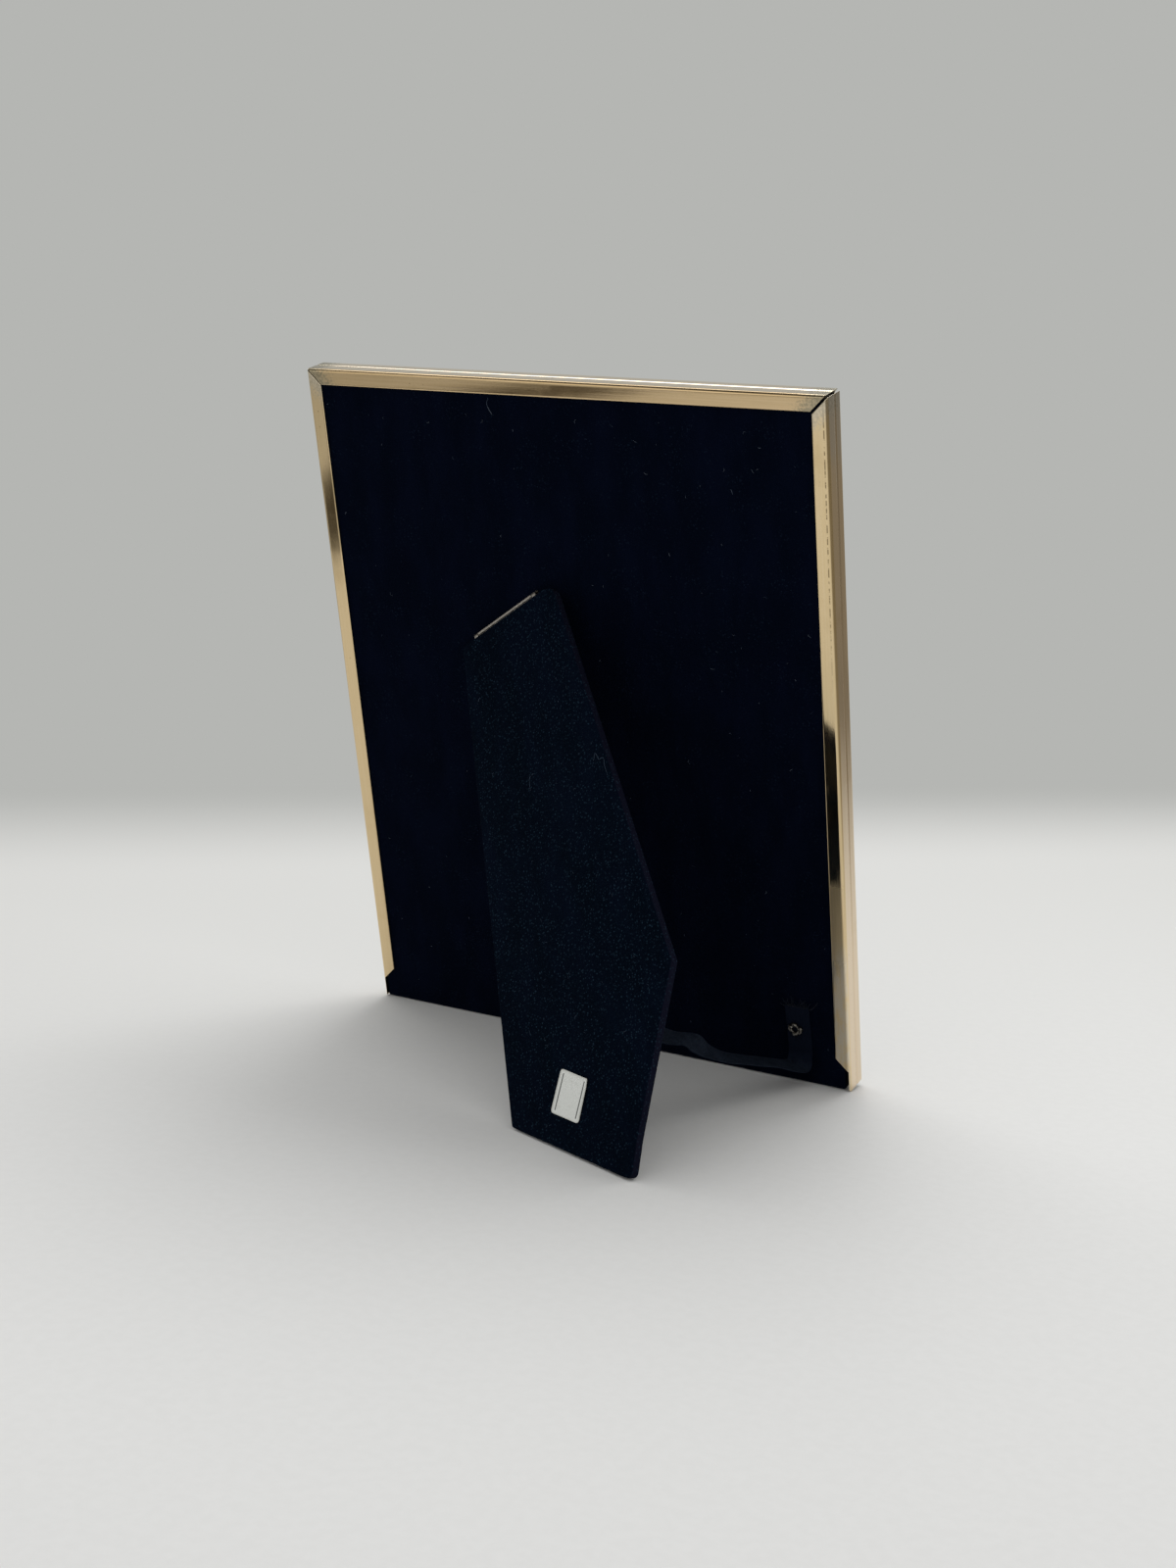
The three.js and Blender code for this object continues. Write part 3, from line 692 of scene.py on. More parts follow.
def ribbonFinish():
    # ribbed black ribbon, a little greyer where it hangs
    look = Finish("ribbed ribbon")
    place = look.places()
    weave = look.clouds(place * (1, 3, 1), 2.4, 3, 0.7)
    worn = look.clouds(place, 0.25, 3, 0.6)
    speckle = look.clouds(place, 2.0, 2, 0.8)
    hanging = look.parts(place)[2].between(11.5, 16)
    base = look.blend(weave.between(0.3, 0.75), colour(9, 14, 26), colour(17, 24, 38))
    free = look.blend(worn.between(0.3, 0.7), colour(15, 21, 31), colour(24, 31, 42))
    free = look.blend(speckle.between(0.5, 0.72) * 0.7, free, colour(50, 56, 66))
    return look.surface({
        "Base Color": look.blend(hanging, base, free),
        "Roughness": 0.78 + weave * 0.15,
        "Specular IOR Level": 0.03,
        "Sheen Weight": 0.03,
        "Sheen Tint": colour(90, 108, 140),
        "Sheen Roughness": 0.4,
        "Normal": look.bumps(weave, 0.4, 0.0002),
    })


ribbonShape = {
    "width": 9.5,
    "thickness": 0.36,
    "ribs": 9,
    "ribDepth": 0.07,
    "selvedge": 0.06,
    "weft": 0.012,
    "sag": 3.6,
    "boardX": 81.9,
    "legX": 14.0,
    "boardLift": 11.65,
    "legLift": -1.65,
    "foldAt": 20,
    "foldLevel": 11.4,
    "foldKept": 0.032,
    "steps": 14,
    # on the board: how far up it, how far off it, and how far aside
    "onBoard": [(32.4, 0, 0.6), (22.9, 0, 1.1), (15.9, 0, 1.4), (12.9, 0, 1.4), (10.9, 1, 1.4)],
    "leave": (9.9, 3, 1.8),
    # under the leg: how far up from the hinge, and how far off it
    "arrive": (-162, 3),
    "underLeg": [(-161, 1), (-159, 0), (-156, 0), (-148, 0), (-138.5, 0)],
    # along the free stretch: the share of it, how much further it drops, and its turn in degrees
    "hang": [
        (-0.1, 0, 0), (0, 0.38, -19), (0.1, 0.40, -19), (0.2, 0.32, -13), (0.3, 0.72, -15),
        (0.4, 1.08, -16), (0.45, 1.27, -22), (0.5, 0.90, -30), (0.55, 0.45, -38),
        (0.6, -0.56, -47), (0.65, -1.47, -42), (0.7, -1.34, -31), (0.75, -0.67, -28),
        (0.8, 0.18, -34), (0.85, 0.8, -36), (0.92, 0.4, -20), (1, 0, 0),
    ],
    "evening": (-0.03, -0.015, 0, 0.015, 0.03),  # the shares either side that are evened out
    "crease": 0.635,  # where a fold runs across it at a slant
    "slant": 0.012,  # share of the free stretch for each millimetre across
}


def ribbonRoute():
    def onBoard(y, lift, aside):
        return onPanel(ribbonShape["boardX"] + aside, y, ribbonShape["boardLift"] + lift)

    def underLeg(y, lift):
        return onLeg(ribbonShape["legX"], y, ribbonShape["legLift"] - lift)

    leave, arrive = onBoard(*ribbonShape["leave"]), underLeg(*ribbonShape["arrive"])
    hanging = []
    for share in (0.2, 0.4, 0.6, 0.8):
        drop = panelUp * (4 * ribbonShape["sag"] * share * (1 - share) * metre)
        hanging.append(leave.lerp(arrive, share) - drop)
    before = [onBoard(*stop) for stop in ribbonShape["onBoard"]]
    after = [underLeg(*stop) for stop in ribbonShape["underLeg"]]
    return before, [leave, *hanging, arrive], after


def ribbonHang(share):
    # how much further the ribbon drops there, and its turn, evened out a little
    table, near = ribbonShape["hang"], ribbonShape["evening"]
    drops, turns = 0, 0
    for offset in near:
        at = min(max(share + offset, table[0][0]), table[-1][0])
        for (low, lowDrop, lowTurn), (high, highDrop, highTurn) in zip(table, table[1:]):
            if low <= at <= high:
                part = (at - low) / (high - low)
                drops += mixed(lowDrop, highDrop, part)
                turns += mixed(lowTurn, highTurn, part)
                break
    return drops / len(near), radians(turns / len(near))


def ribbonLoop(weft):
    # the ribbon's section: across and through, in millimetres, with its lengthwise ribs
    half, thick = ribbonShape["width"] / 2, ribbonShape["thickness"] / 2
    ribs, depth = ribbonShape["ribs"], ribbonShape["ribDepth"]
    count = ribs * 4
    face = []
    for i in range(count + 1):
        share = i / count
        rib = depth * (0.5 - 0.5 * cos(2 * pi * share * ribs))
        selvedge = ribbonShape["selvedge"] * (eased(share, 0.06, 0) + eased(share, 0.94, 1))
        face.append((mixed(-half, half, share), thick - depth + rib + selvedge + weft))
    return face + [(across, -through) for across, through in face[::-1]]


def makeRibbon():
    before, free, after = ribbonRoute()
    steps = ribbonShape["steps"]
    route = smoothLine([*before, *free, *after], steps)
    boardWay = panelAxes @ Vector((1, 0, 0))
    legWay = panelAxes @ legTurn @ Vector((1, 0, 0))
    rings, middles = [], []
    for i, at in enumerate(route):
        share = (i / steps - len(before)) / (len(free) - 1)
        run = heading(route, i)
        flat = (boardWay - run * boardWay.dot(run)).normalized()
        square = run.cross(flat)
        legs = atan2(legWay.dot(square), legWay.dot(flat)) * eased(share, 0.84, 1)
        slant = ribbonShape["slant"] * eased(abs(share - ribbonShape["crease"]), 0.14, 0.04)
        ring = []
        for u, v in ribbonLoop(ribbonShape["weft"] if i % 2 else -ribbonShape["weft"]):
            drop, turn = ribbonHang(share - slant * u)
            side = flat * cos(turn + legs) + square * sin(turn + legs)
            ring.append(at + (side * u + side.cross(run) * v - panelUp * drop) * metre)
        rings.append(ring)
        middles.append(at - panelUp * ribbonHang(share)[0] * metre)
    points, faces = strand(rings)
    piece = makePiece("check_ribbon", points, faces, ribbonFinish(), sharp=50)
    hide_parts("ribbon")
    tuple(middles[0])
    sum((b - a).length for a, b in zip(middles, middles[1:]))
    [tuple(p) for p in middles]
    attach(piece, "back")
    fold = onPanel(ribbonShape["boardX"], ribbonShape["foldAt"], ribbonShape["foldLevel"])
    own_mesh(piece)


fray = {
    "threads": 26, "radius": 0.085, "from": -3.9, "to": 6.4,
    "foot": 31.6, "level": 11.75, "reach": 5.0, "steps": 8,
}


def makeFray():
    # the loose threads at the ribbon's cut end
    look = Finish("ribbon threads")
    twist = look.clouds(look.places(), 2.5, 3, 0.7)
    base = look.blend(twist.between(0.3, 0.7), colour(10, 14, 24), colour(22, 28, 40))
    look.surface({"Base Color": base, "Roughness": 0.8, "Specular IOR Level": 0.2})
    chance = random.Random(4)
    strands = []
    for k in range(fray["threads"]):
        aside = mixed(fray["from"], fray["to"], k / (fray["threads"] - 1))
        lean = chance.uniform(-2.2, 2.2) + aside * 0.25
        reach = fray["reach"] * chance.uniform(0.25, 1) ** 1.4
        curl = chance.uniform(-0.9, 0.9)
        path = []
        for i in range(fray["steps"] + 1):
            share = i / fray["steps"]
            x = ribbonShape["boardX"] + aside + lean * share + curl * sin(2.6 * share)
            z = fray["level"] + 0.25 * sin(pi * share) * chance.uniform(0.6, 1)
            path.append(onPanel(x, fray["foot"] + reach * share, z))
        strands.append(tube(path, fray["radius"] * metre, 5))
    points, faces = gathered(strands)
    makePiece("ribbon_threads", points, faces, look.material, "back", sharp=60)


makeRibbon()
makeFray()
print("ribbon made")


def nickelFinish(name, bright, dull, roughness, within=panelPlace):
    look = Finish(name)
    place = look.places(within)
    haze = look.clouds(place, 0.8, 4, 0.65)
    scuffs = look.clouds(place * (0.2, 1, 1), 5, 3, 0.6)
    return look.surface({
        "Base Color": look.blend(haze.between(0.35, 0.7), bright, dull),
        "Metallic": 1,
        "Roughness": roughness + haze * 0.12 + scuffs * 0.08,
        "Normal": look.bumps(haze + scuffs * 0.5, 0.25, 0.0002),
    })


steel = nickelFinish("nickel plate", colour(205, 202, 196), colour(170, 167, 160), 0.2)
hingeNickel = nickelFinish(
    "hinge nickel", colour(178, 172, 164), colour(150, 145, 138), 0.36, legPlace
)
eyeletNickel = nickelFinish("eyelet nickel", colour(150, 146, 140), colour(72, 70, 67), 0.16)
zinc = nickelFinish("dull zinc", colour(176, 178, 180), colour(140, 142, 146), 0.38)

eyelet = {
    "at": (81.9, 22.9),
    "bore": 1.05,
    "sheet": 0.42,
    "foot": 7.25,
    "flange": 2.4,
    "top": 13.6,
    "curl": 0.68,
    "sweep": 1.35 * pi,
    "curlSteps": 12,
    # where the rim tore as it was rolled over, and how wide
    "splits": [(0.9, 0.3), (3.95, 0.42), (2.2, 0.16)],
    "steps": 72,
}


def makeEyelet():
    # a hollow rivet whose rolled rim has split
    half = eyelet["sheet"] / 2
    middle = eyelet["bore"] + half
    foot = eyelet["foot"] + half
    rings = []
    for k in range(eyelet["steps"]):
        angle = 2 * pi * k / eyelet["steps"]
        torn = 0
        for at, width in eyelet["splits"]:
            apart = (angle - at + pi) % (2 * pi) - pi
            torn = max(torn, exp(-((apart / width) ** 2)))
        # it curls less and stands lower where it is torn, and is uneven all round
        curl = eyelet["curl"] * (1 - 0.72 * torn) * (1 + 0.12 * sin(3 * angle + 1))
        top = eyelet["top"] - 0.45 * torn - 0.1 * (1 + sin(2 * angle)) - curl - half
        line = [Vector((eyelet["flange"], foot)), Vector((middle + 0.5, foot))]
        line += [Vector((middle, foot + 1.2 * half)), Vector((middle, top))]
        turns = (pi, pi - eyelet["sweep"])
        line += arc((middle + curl, top), curl, *turns, eyelet["curlSteps"])[1:]
        outer, inner = [], []
        for i, point in enumerate(line):
            run = heading(line, i)
            out = Vector((-run.y, run.x)) * half
            outer.append(point + out)
            inner.append(point - out)
        x, y = eyelet["at"]
        across, up = cos(angle), sin(angle)
        rings.append([onPanel(x + p.x * across, y + p.x * up, p.y) for p in outer + inner[::-1]])
    points = [p for ring in rings for p in ring]
    faces = [tuple(index % len(points) for index in face) for face in grid(rings + rings[:1])]
    replaced = ["ribbon_board_rivet"]
    makePiece("ribbon_eyelet", points, faces, eyeletNickel, "back", replaced, 40)


barrel = {
    "reach": 14.85,
    "facing": radians(127.5),  # the way its seam looks, from the leg's plane
    "bore": 0.62,
    # its outer line from one lip of the seam to half way round: across, and towards the seam
    "line": [
        (-0.2, 0.66), (-0.22, 0.86), (-0.34, 0.97), (-0.85, 0.95), (-0.99, 0.87),
        (-1.07, 0.6), (-1.08, 0.1), (-0.95, -0.5), (-0.6, -0.92), (0, -1.08),
    ],
    # the share of its reach along it, and how far it is worn in there
    "stations": [
        (-1, 0.05), (-0.997, 0), (-0.99, 0), (-0.33, 0), (0.33, 0), (0.99, 0), (0.997, 0),
        (1, 0.05),
    ],
    "leafFrom": -0.7,
    "leafTo": -13.0,
    "leafHalf": 0.25,
    "prongAt": (-10, 10),
    "prongWidth": 3.0,
    "prongThickness": 0.45,
    "prongFold": 4.2,
    "prongTop": 1.3,
}


def makeBarrel():
    # the leg's leaf: a strip rolled round the pin until its two edges meet, and clinched to the leg
    line = barrel["line"]
    outer = [Vector(p) for p in line] + [Vector((-x, y)) for x, y in line[-2::-1]]
    inner = [p.normalized() * barrel["bore"] for p in outer]
    out = Vector((cos(barrel["facing"]), sin(barrel["facing"])))
    across = Vector((out.y, -out.x))
    loop = [across * p.x + out * p.y for p in outer + inner[::-1]]
    rings = []
    for share, worn in barrel["stations"]:
        along = barrel["reach"] * share
        rings.append([onLeg(along, p.x * (1 - worn), p.y * (1 - worn)) for p in loop])
    parts = [bentSheet(rings)]

    def strip(low, high):
        xs, ys, zs = zip(low, high)
        corners = [(x, y, z) for z in zs for y in ys for x in xs]
        sides = [(0, 1, 3, 2), (4, 6, 7, 5), (0, 4, 5, 1), (2, 3, 7, 6), (0, 2, 6, 4), (1, 5, 7, 3)]
        return [onLeg(*corner) for corner in corners], sides

    half, thick = barrel["leafHalf"], barrel["prongThickness"]
    tip, top = barrel["leafTo"], barrel["prongTop"]
    parts.append(strip((-barrel["reach"], tip, -half), (barrel["reach"], barrel["leafFrom"], half)))
    for x in barrel["prongAt"]:
        left, right = x - barrel["prongWidth"] / 2, x + barrel["prongWidth"] / 2
        parts.append(strip((left, tip, half), (right, tip + thick, top - thick)))
        foldEnd = tip - barrel["prongFold"]
        parts.append(strip((left, foldEnd, top - thick), (right, tip + thick, top)))
    points, faces = gathered(parts)
    makePiece("hinge_barrel", points, faces, hingeNickel, "leg", ["hinge_leg_leaf"], 38)


makeEyelet()
makeBarrel()
print("eyelet and hinge made")

# fibres that the velvet has caught: the ones that show, and fine ones scattered over it
lint = {
    "radius": 0.075,
    "fineRadius": 0.05,
    "arch": 0.25,  # how far their middles stand off the velvet
    "fineArch": 0.12,
    "fineReach": 1.6,
    "fromBox": 6,  # how far inside the outline's box the fine ones are drawn
    "fromEdge": 3,  # and how far inside the outline itself they stay
    "leg": {
        "level": 2.36,
        "shades": (colour(70, 82, 100), colour(44, 62, 78)),
        "seed": 7,
        "fine": 150,
        "lines": [
            [
                (29.4, -74.1), (31.0, -71.9), (32.2, -75), (33.2, -74.8), (34.3, -75.5),
                (34.0, -77.6), (34.3, -82.0),
            ],
            [(0.6, -65.1), (-1.5, -65.8), (-2.6, -70.4)],
            [(-18.6, -25.1), (-19.2, -25.6), (-19.9, -26.3)],
            [(10.5, -46.4), (10.6, -46.7), (10.5, -47.1)],
            [(-14.7, -42.6), (-14.9, -42.9), (-14.8, -43.2)],
            [(19.9, -36.7), (20.1, -36.9), (20.0, -37.3)],
        ],
    },
    "board": {
        "level": 11.16,
        "shades": (colour(110, 118, 130), colour(48, 58, 78)),
        "seed": 8,
        "fine": 130,
        "lines": [
            [(-17.5, 242.1), (-17.2, 241.7), (-17.4, 241.2)],
            [(-26.4, 252.8), (-27.0, 250.6), (-26.2, 248.6), (-25.4, 246.9)],
            [(66.5, 226.3), (66.9, 225.5), (67.1, 224.4)],
            [(77.4, 241.3), (77.8, 241.1), (78.3, 241.2)],
            [(85.3, 25.2), (85.5, 24.7), (85.8, 24.4)],
        ],
    },
}


def makeLint(where, shape, place, body):
    caught = lint[where]
    look = Finish("lint on the " + where)
    tint = look.clouds(look.places(), 0.15, 3, 0.6)
    base = look.blend(tint.between(0.35, 0.65), *caught["shades"])
    look.surface({"Base Color": base, "Roughness": 0.85, "Specular IOR Level": 0.1})

    chance = random.Random(caught["seed"])
    level, corners = caught["level"], shape["corners"]
    strands = []
    for line in caught["lines"]:
        last = len(line) - 1
        path = []
        for i, (x, y) in enumerate(line):
            path.append(place(x, y, level + lint["arch"] * sin(pi * i / last)))
        strands.append(tube(smoothLine(path, 4), lint["radius"] * metre, 5))
    low = [min(c[k] for c in corners) + lint["fromBox"] for k in (0, 1)]
    high = [max(c[k] for c in corners) - lint["fromBox"] for k in (0, 1)]
    edges = list(zip(corners, corners[1:] + corners[:1]))
    while len(strands) < len(caught["lines"]) + caught["fine"]:
        x, y = chance.uniform(low[0], high[0]), chance.uniform(low[1], high[1])
        # how far off each side is: the corners run anticlockwise, so inside they are all above 0
        apart = [
            ((bx - ax) * (y - ay) - (by - ay) * (x - ax)) / hypot(bx - ax, by - ay)
            for (ax, ay), (bx, by) in edges
        ]
        if min(apart) < lint["fromEdge"]:
            continue
        angle, reach = chance.uniform(0, pi), chance.uniform(0.25, 1.0) ** 2 * lint["fineReach"]
        bend = chance.uniform(-0.4, 0.4) * reach
        run = Vector((cos(angle), sin(angle)))
        aside = Vector((-run.y, run.x))
        path = []
        for i in range(5):
            share = i / 4 - 0.5
            rise = cos(pi * share)
            p = Vector((x, y)) + run * reach * share + aside * bend * rise
            path.append(place(p.x, p.y, level + lint["fineArch"] * rise))
        strands.append(tube(path, lint["fineRadius"] * metre * chance.uniform(0.6, 1.2), 4))
    points, faces = gathered(strands)
    makePiece(where + "_lint", points, faces, look.material, body, sharp=60)


makeLint("leg", leg, onLeg, "leg")
makeLint("board", board, onPanel, "back")
print("lint made")

sticker = {
    "centre": (-11.3, -180.325),
    "size": (14.2, 15.2),
    "radius": 1.4,
    "low": 2.5,
    "thickness": 0.16,
    "turn": radians(-35.1),
    "grubbyFrom": (6.2, 7.0),  # from the middle, where its edges are soiled
    "rule": 5.3,  # the printed rules' distance from the middle
    "ruleWidth": 0.5,
    "ruleReach": 6.5,
    "fold": 2.6,  # how far down the side the folded corner reaches
}


def stickerFinish():
    look = Finish("sticker paper")
    turn = Matrix.Rotation(sticker["turn"], 3, "Z")
    place = look.places((panelAxes @ legTurn @ turn, onLeg(*sticker["centre"], 0)))
    x, y = look.parts(place)[:2]
    fibres = look.clouds(place * (1, 0.6, 1), 2.2, 4, 0.7)
    grime = look.clouds(place, 0.35, 3, 0.6)
    paper = look.blend(fibres.between(0.3, 0.75), colour(232, 234, 230), colour(220, 222, 217))
    grubbyX, grubbyY = sticker["grubbyFrom"]
    edge = (abs(x) - grubbyX).most(abs(y) - grubbyY).between(-0.2, 0.6)
    soiled = edge * 0.35 + grime.between(0.55, 0.8) * 0.2
    paper = look.blend(soiled, paper, colour(160, 158, 146))
    width, reach = sticker["ruleWidth"], sticker["ruleReach"]
    rule = abs(abs(x) - sticker["rule"]).between(width * 0.7, width * 0.3)
    rule = rule * abs(y).between(reach, reach - 0.3)
    ink = look.blend(fibres.between(0.5, 0.9), colour(34, 36, 35), colour(66, 68, 66))
    return look.surface({
        "Base Color": look.blend(rule * 0.9, paper, ink),
        "Roughness": 0.55 + fibres * 0.2,
        "Specular IOR Level": 0.3,
        "Normal": look.bumps(fibres, 0.2, 0.0002),
    })


def makeSticker():
    # a sticker, one corner of which has lifted and folded
    half = Vector(sticker["size"]) / 2
    radius = sticker["radius"]
    corners = [(-half.x, -half.y), (half.x, -half.y), (half.x, half.y - sticker["fold"])]
    corners += [(half.x - 0.5, half.y), (-half.x, half.y)]
    outline = roundedOutline(corners, [radius, radius, 0.15, 0.08, radius], 5)
    centre = Vector(sticker["centre"])
    turn = Matrix.Rotation(sticker["turn"], 2)

    def place(p, lift):
        # the strip beyond the right rule lifts a little, most of all at the folded corner
        beyond = eased(p.x, sticker["rule"] + 0.1, half.x)
        lift += 0.10 + 0.5 * beyond * eased(p.y, -2, half.y) + 0.06 * beyond
        where = centre + turn @ p
        return onLeg(where.x, where.y, sticker["low"] + lift)

    rings = [[p * shrink for p in outline] for shrink in (1, 0.93, 0.86, 0.78, 0.6, 0.4, 0.2)]
    points, faces = [], []
    count = len(outline)
    for lift in (0, sticker["thickness"]):
        first = len(points)
        for ring in rings:
            points += [place(p, lift) for p in ring]
        faces += grid(rings, first)
        points.append(place(Vector((0, 0)), lift))
        middle = len(points) - 1
        last = middle - count
        faces += [(last + k, last + (k + 1) % count, middle) for k in range(count)]
    upper = len(points) // 2
    for k in range(count):
        after = (k + 1) % count
        faces.append((k, after, upper + after, upper + k))
    paper = stickerFinish()
    makePiece("leg_sticker", points, faces, paper, "leg", ["leg_label"], 30)


makeSticker()
print("sticker made")


def boardFinish(name, light, dark, fleck, scale=1.0):
    # pressed board: short fibres and odd flecks
    look = Finish(name)
    place = look.places()
    fibres = look.clouds(place * (1, 0.4, 1), 1.3 * scale, 5, 0.7)
    cloud = look.clouds(place, 0.08, 3, 0.6)
    flecks = look.cells(place, 0.9 * scale).between(0.14, 0.05)
    base = look.blend(fibres.between(0.3, 0.7), light, dark)
    return look.surface({
        "Base Color": look.blend(flecks * cloud.between(0.4, 0.6), base, fleck),
        "Roughness": 0.82 + fibres * 0.15,
        "Specular IOR Level": 0.25,
        "Normal": look.bumps(fibres, 0.35, 0.0002),
    })


def glassFinish():
    look = Finish("float glass")
    smears = look.clouds(look.places() * (1, 0.3, 1), 0.03, 4, 0.6, 0.6)
    return look.surface({
        "Base Color": look.blend(
            smears.between(0.3, 0.7), colour(254, 255, 254), colour(251, 253, 252)
        ),
        "Roughness": smears.between(0.5, 0.8) * 0.006,
        "Transmission Weight": 1.0,
        "IOR": 1.5,
    })


def printFinish():
    # a blank satin print
    look = Finish("blank print")
    place = look.places()
    tone = look.clouds(place, 0.02, 3, 0.5)
    grain = look.clouds(place, 3.5, 3, 0.6)
    base = look.blend(tone.between(0.3, 0.7), colour(238, 236, 230), colour(235, 233, 227))
    return look.surface({
        "Base Color": look.blend(grain.between(0.4, 0.8) * 0.1, base, colour(214, 212, 206)),
        "Roughness": 0.4 + grain * 0.15,
        "Normal": look.bumps(grain, 0.15, 0.0001),
    })


greyShades = (colour(170, 163, 150), colour(146, 139, 126), colour(92, 86, 76))
liningShades = (colour(42, 42, 44), colour(30, 30, 32), colour(62, 62, 66))
greyBoard = boardFinish("grey board", *greyShades)
liningPaper = boardFinish("lining paper", *liningShades, 1.6)
keptNodes = [
    (zinc, [f"corner_key_{y}_{x}" for y in ("bottom", "top") for x in ("left", "right")]),
    (glassFinish(), ["glass_pane"]),
    (printFinish(), ["photo_sheet"]),
    (greyBoard, ["backing_card", "back_board_core", "leg_core"]),
    (liningPaper, ["back_board_lining", "leg_lining"]),
    (hingeNickel, ["hinge_board_leaf"]),
    (eyeletNickel, ["hinge_pin"]),
    (steel, ["ribbon_leg_rivet"]),
]
for finish, names in keptNodes:
    for name in names:
        materials = bpy.data.objects[name].data.materials
        materials.clear()
        materials.append(finish)
print("kept nodes dressed")


stage = {
    "backdrop": colour(181, 182, 179),
    "room": colour(96, 94, 90),
    "floor": colour(232, 232, 231),
    "farFloor": colour(216, 216, 214),
    "farLine": 0.41,  # how far off, along the axis, the floor gives way to the backdrop
    "farAxis": (0.70, -0.715),
    "fade": 0.16,
    "reach": 6,
    "ahead": (0.476, -0.879, 0.0),  # the backdrop's middle
    "window": colour(250, 247, 240),
    "beyond": colour(134, 127, 114),  # the far side of the room, past the table's end
    "daylight": 0.68,
}


def rectangle(low, high, z):
    (left, near), (right, far) = low, high
    return [(left, near, z), (right, near, z), (right, far, z), (left, far, z)]


def makeFloor():
    look = Finish("floor paper")
    here = look.add("TexCoord", output="Object")
    x, y = look.parts(here)[:2]
    away = x * stage["farAxis"][0] + y * stage["farAxis"][1] - stage["farLine"]
    far = away.between(-stage["fade"] / 2, stage["fade"])
    grain = look.clouds(here, 260, 3, 0.6)
    # painted light: the paper is painted lighter towards the camera and darker far off
    paintedLightNearness = (away * -1).between(0.05, 0.6)
    paper = look.blend(paintedLightNearness, stage["farFloor"], stage["floor"])
    paper = look.blend(grain.between(0.3, 0.7) * 0.12, paper, colour(214, 214, 212))
    # painted shade: the paper is painted darker off to one side, where the plating mirrors it
    paintedShadeAside = (x * 0.8 + y * 0.6).between(0.34, 0.62)
    paper = look.blend(paintedShadeAside * 0.5, paper, colour(150, 148, 142))
    # the plating mirrors the far side of the room
    beyond = x.between(-0.15, -0.5) * look.add("LightPath", output="Is Glossy Ray")
    paper = look.blend(beyond, paper, stage["beyond"])
    backdrop = look.blend(beyond, stage["backdrop"], stage["beyond"])
    paperShade = {"Base Color": paper, "Roughness": 0.85, "Specular IOR Level": 0.2}
    floorShade = look.add("BsdfPrincipled", None, paperShade)
    backShade = look.add("Emission", None, {"Color": backdrop, "Strength": 1})
    look.finish(look.add("MixShader", None, {0: far, 1: floorShade, 2: backShade}))
    reach = stage["reach"]
    corners = rectangle((-reach, -reach), (reach, reach), 0)
    makePiece("floor", corners, [(0, 1, 2, 3)], look.material)


darkCard = {
    "from": (0.286, 0.462),
    "to": (0.353, 0.285),
    "radius": 0.070,
    "softness": 0.2,
    "margin": 0.01,
    "level": 0.001,
    "shade": colour(78, 72, 62),
}


def makeDarkCard():
    # a soft dark card on the table beside the camera, for the plating to mirror
    start, end, radius = Vector(darkCard["from"]), Vector(darkCard["to"]), darkCard["radius"]
    run = end - start
    look = Finish("dark card")
    x, y = look.parts(look.add("TexCoord", output="Object"))[:2]
    along = ((x - start.x) * run.x + (y - start.y) * run.y) / run.length_squared
    along = along.most(0).least(1)
    acrossX = x - start.x - along * run.x
    acrossY = y - start.y - along * run.y
    apart = (acrossX * acrossX + acrossY * acrossY) ** 0.5
    shown = apart.between(radius, radius * darkCard["softness"])
    dull = {"Base Color": darkCard["shade"], "Roughness": 0.9}
    dark = look.add("BsdfPrincipled", None, dull)
    clear = look.add("BsdfTransparent")
    look.finish(look.add("MixShader", None, {0: shown, 1: clear, 2: dark}))
    reach = radius + darkCard["margin"]
    low = [min(start[k], end[k]) - reach for k in (0, 1)]
    high = [max(start[k], end[k]) + reach for k in (0, 1)]
    corners = rectangle(low, high, darkCard["level"])
    card = makePiece("dark_card", corners, [(0, 1, 2, 3)], look.material)
    card.visible_camera = False
    card.visible_diffuse = False
    card.visible_shadow = False


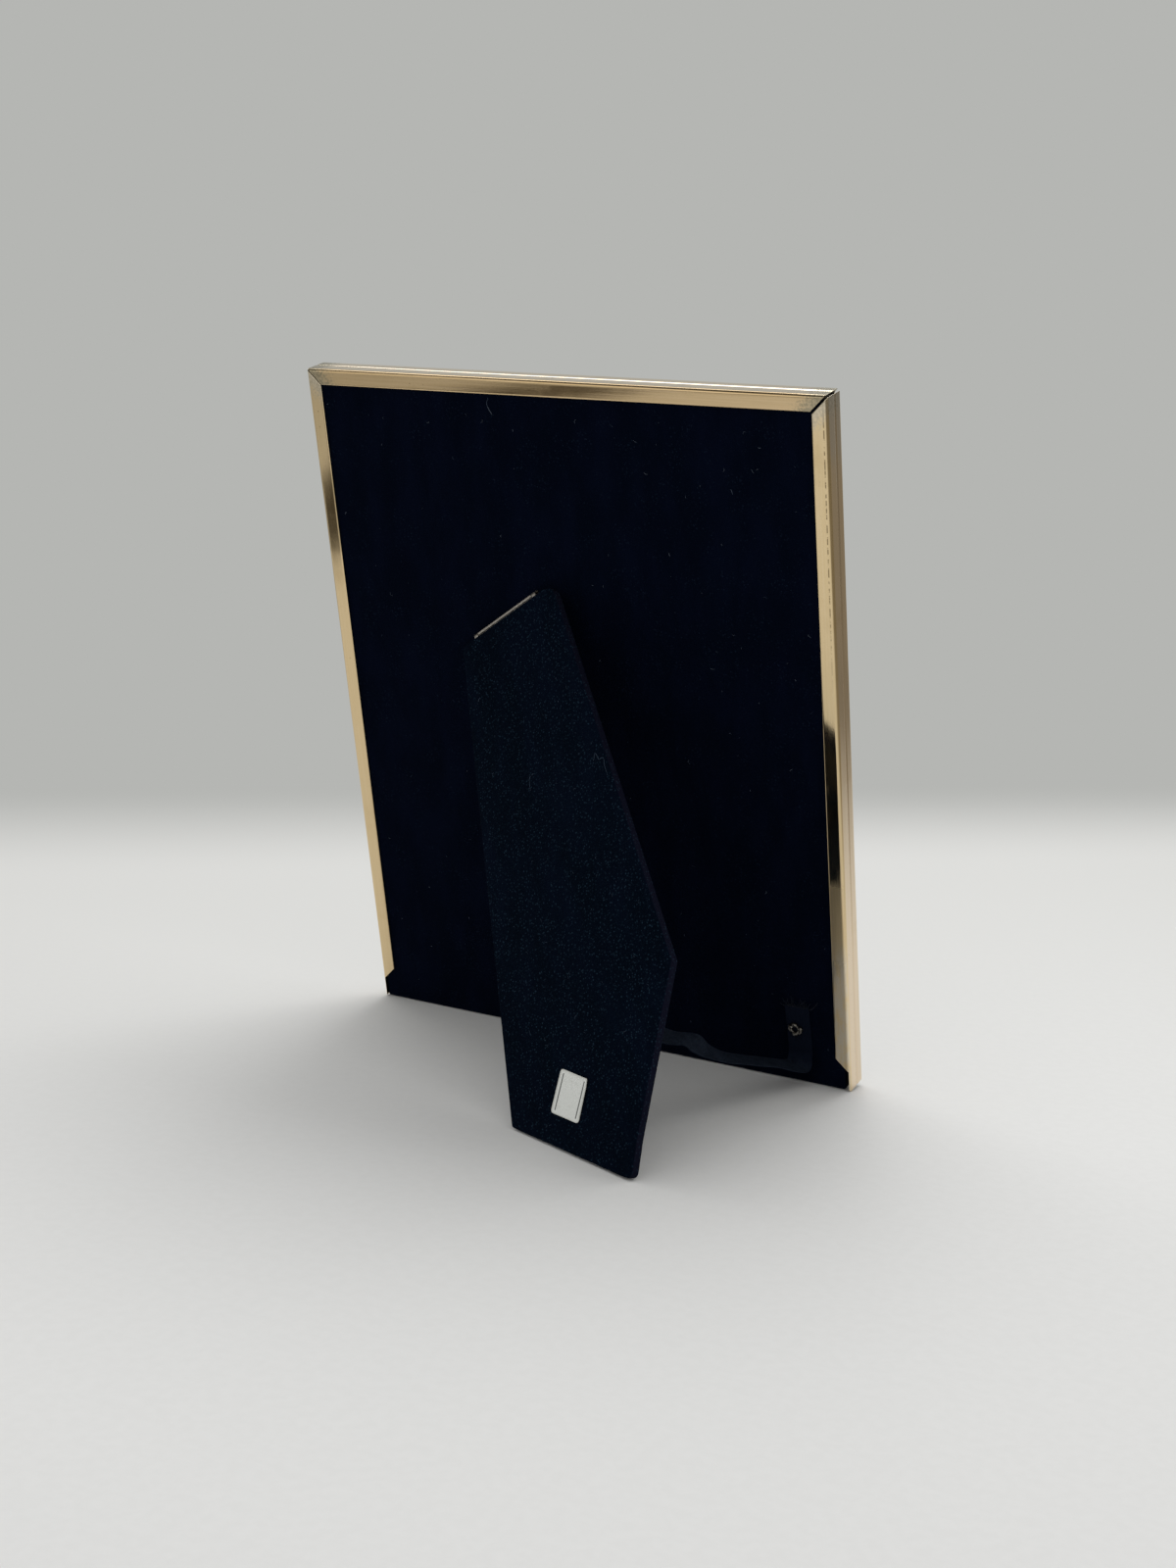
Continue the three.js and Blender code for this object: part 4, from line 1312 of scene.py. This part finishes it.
def makeWorld():
    look = Finish("studio", "World")
    camera, glossy, through = (
        look.add("LightPath", output=f"Is {kind} Ray")
        for kind in ("Camera", "Glossy", "Transmission")
    )
    direction = look.add("TexCoord", output="Generated")
    dot = {"operation": "DOT_PRODUCT"}
    ahead = look.add("VectorMath", dot, {0: direction, 1: stage["ahead"]}, "Value")
    aside = ahead.between(0.97, 0.45) * (1 - camera)
    window = ahead.between(-0.1, -0.4) * look.parts(direction)[2].between(0.62, 0.42)
    shown = look.blend(aside, stage["backdrop"], stage["room"])
    shown = look.blend(window * glossy, shown, stage["window"])
    daylight = {"Color": (1, 1, 0.99, 1), "Strength": stage["daylight"]}
    light = look.add("Background", None, daylight)
    seen = look.add("Background", None, {"Color": shown, "Strength": 1})
    share = camera.most(glossy).most(through)
    look.finish(look.add("MixShader", None, {0: share, 1: light, 2: seen}))
    bpy.context.scene.world = look.material


lamps = {
    "overhead": {"at": (0, -0.6, 1.2), "size": (0.8, 0.7), "radiance": 3.0},
    "aside": {"at": (0.55, -0.45, 1.2), "size": (0.95, 0.35), "radiance": 2.2},
}
lampAim = Vector((0, 0, 0.1))


def makeLamp(name, at, size, radiance):
    lamp = bpy.data.lights.new(name, "AREA")
    lamp.shape = "RECTANGLE"
    lamp.size, lamp.size_y = size
    lamp.energy = radiance * pi * size[0] * size[1]
    holder = placed(name, lamp)
    holder.location = at
    holder.rotation_euler = (lampAim - Vector(at)).to_track_quat("-Z", "Y").to_euler()


view = {
    "at": (-0.39239, 0.679221, 0.25633),
    "turn": (79.0806, -2.7400, -151.0459),
    "lens": 51.302,
    "sensor": 36,
    "shift": (-0.008227, 0.010331),
    "clip": (0.01, 30),
}


def makeCamera():
    data = bpy.data.cameras.new("camera")
    data.lens = view["lens"]
    data.sensor_width = view["sensor"]
    data.shift_x, data.shift_y = view["shift"]
    data.clip_start, data.clip_end = view["clip"]
    camera = placed("camera", data)
    camera.location = view["at"]
    camera.rotation_euler = [radians(angle) for angle in view["turn"]]
    bpy.context.scene.camera = camera


makeFloor()
makeDarkCard()
makeWorld()
for name, lamp in lamps.items():
    makeLamp(name, **lamp)
makeCamera()
bpy.context.scene.view_settings.view_transform = "Standard"
print("stage set")
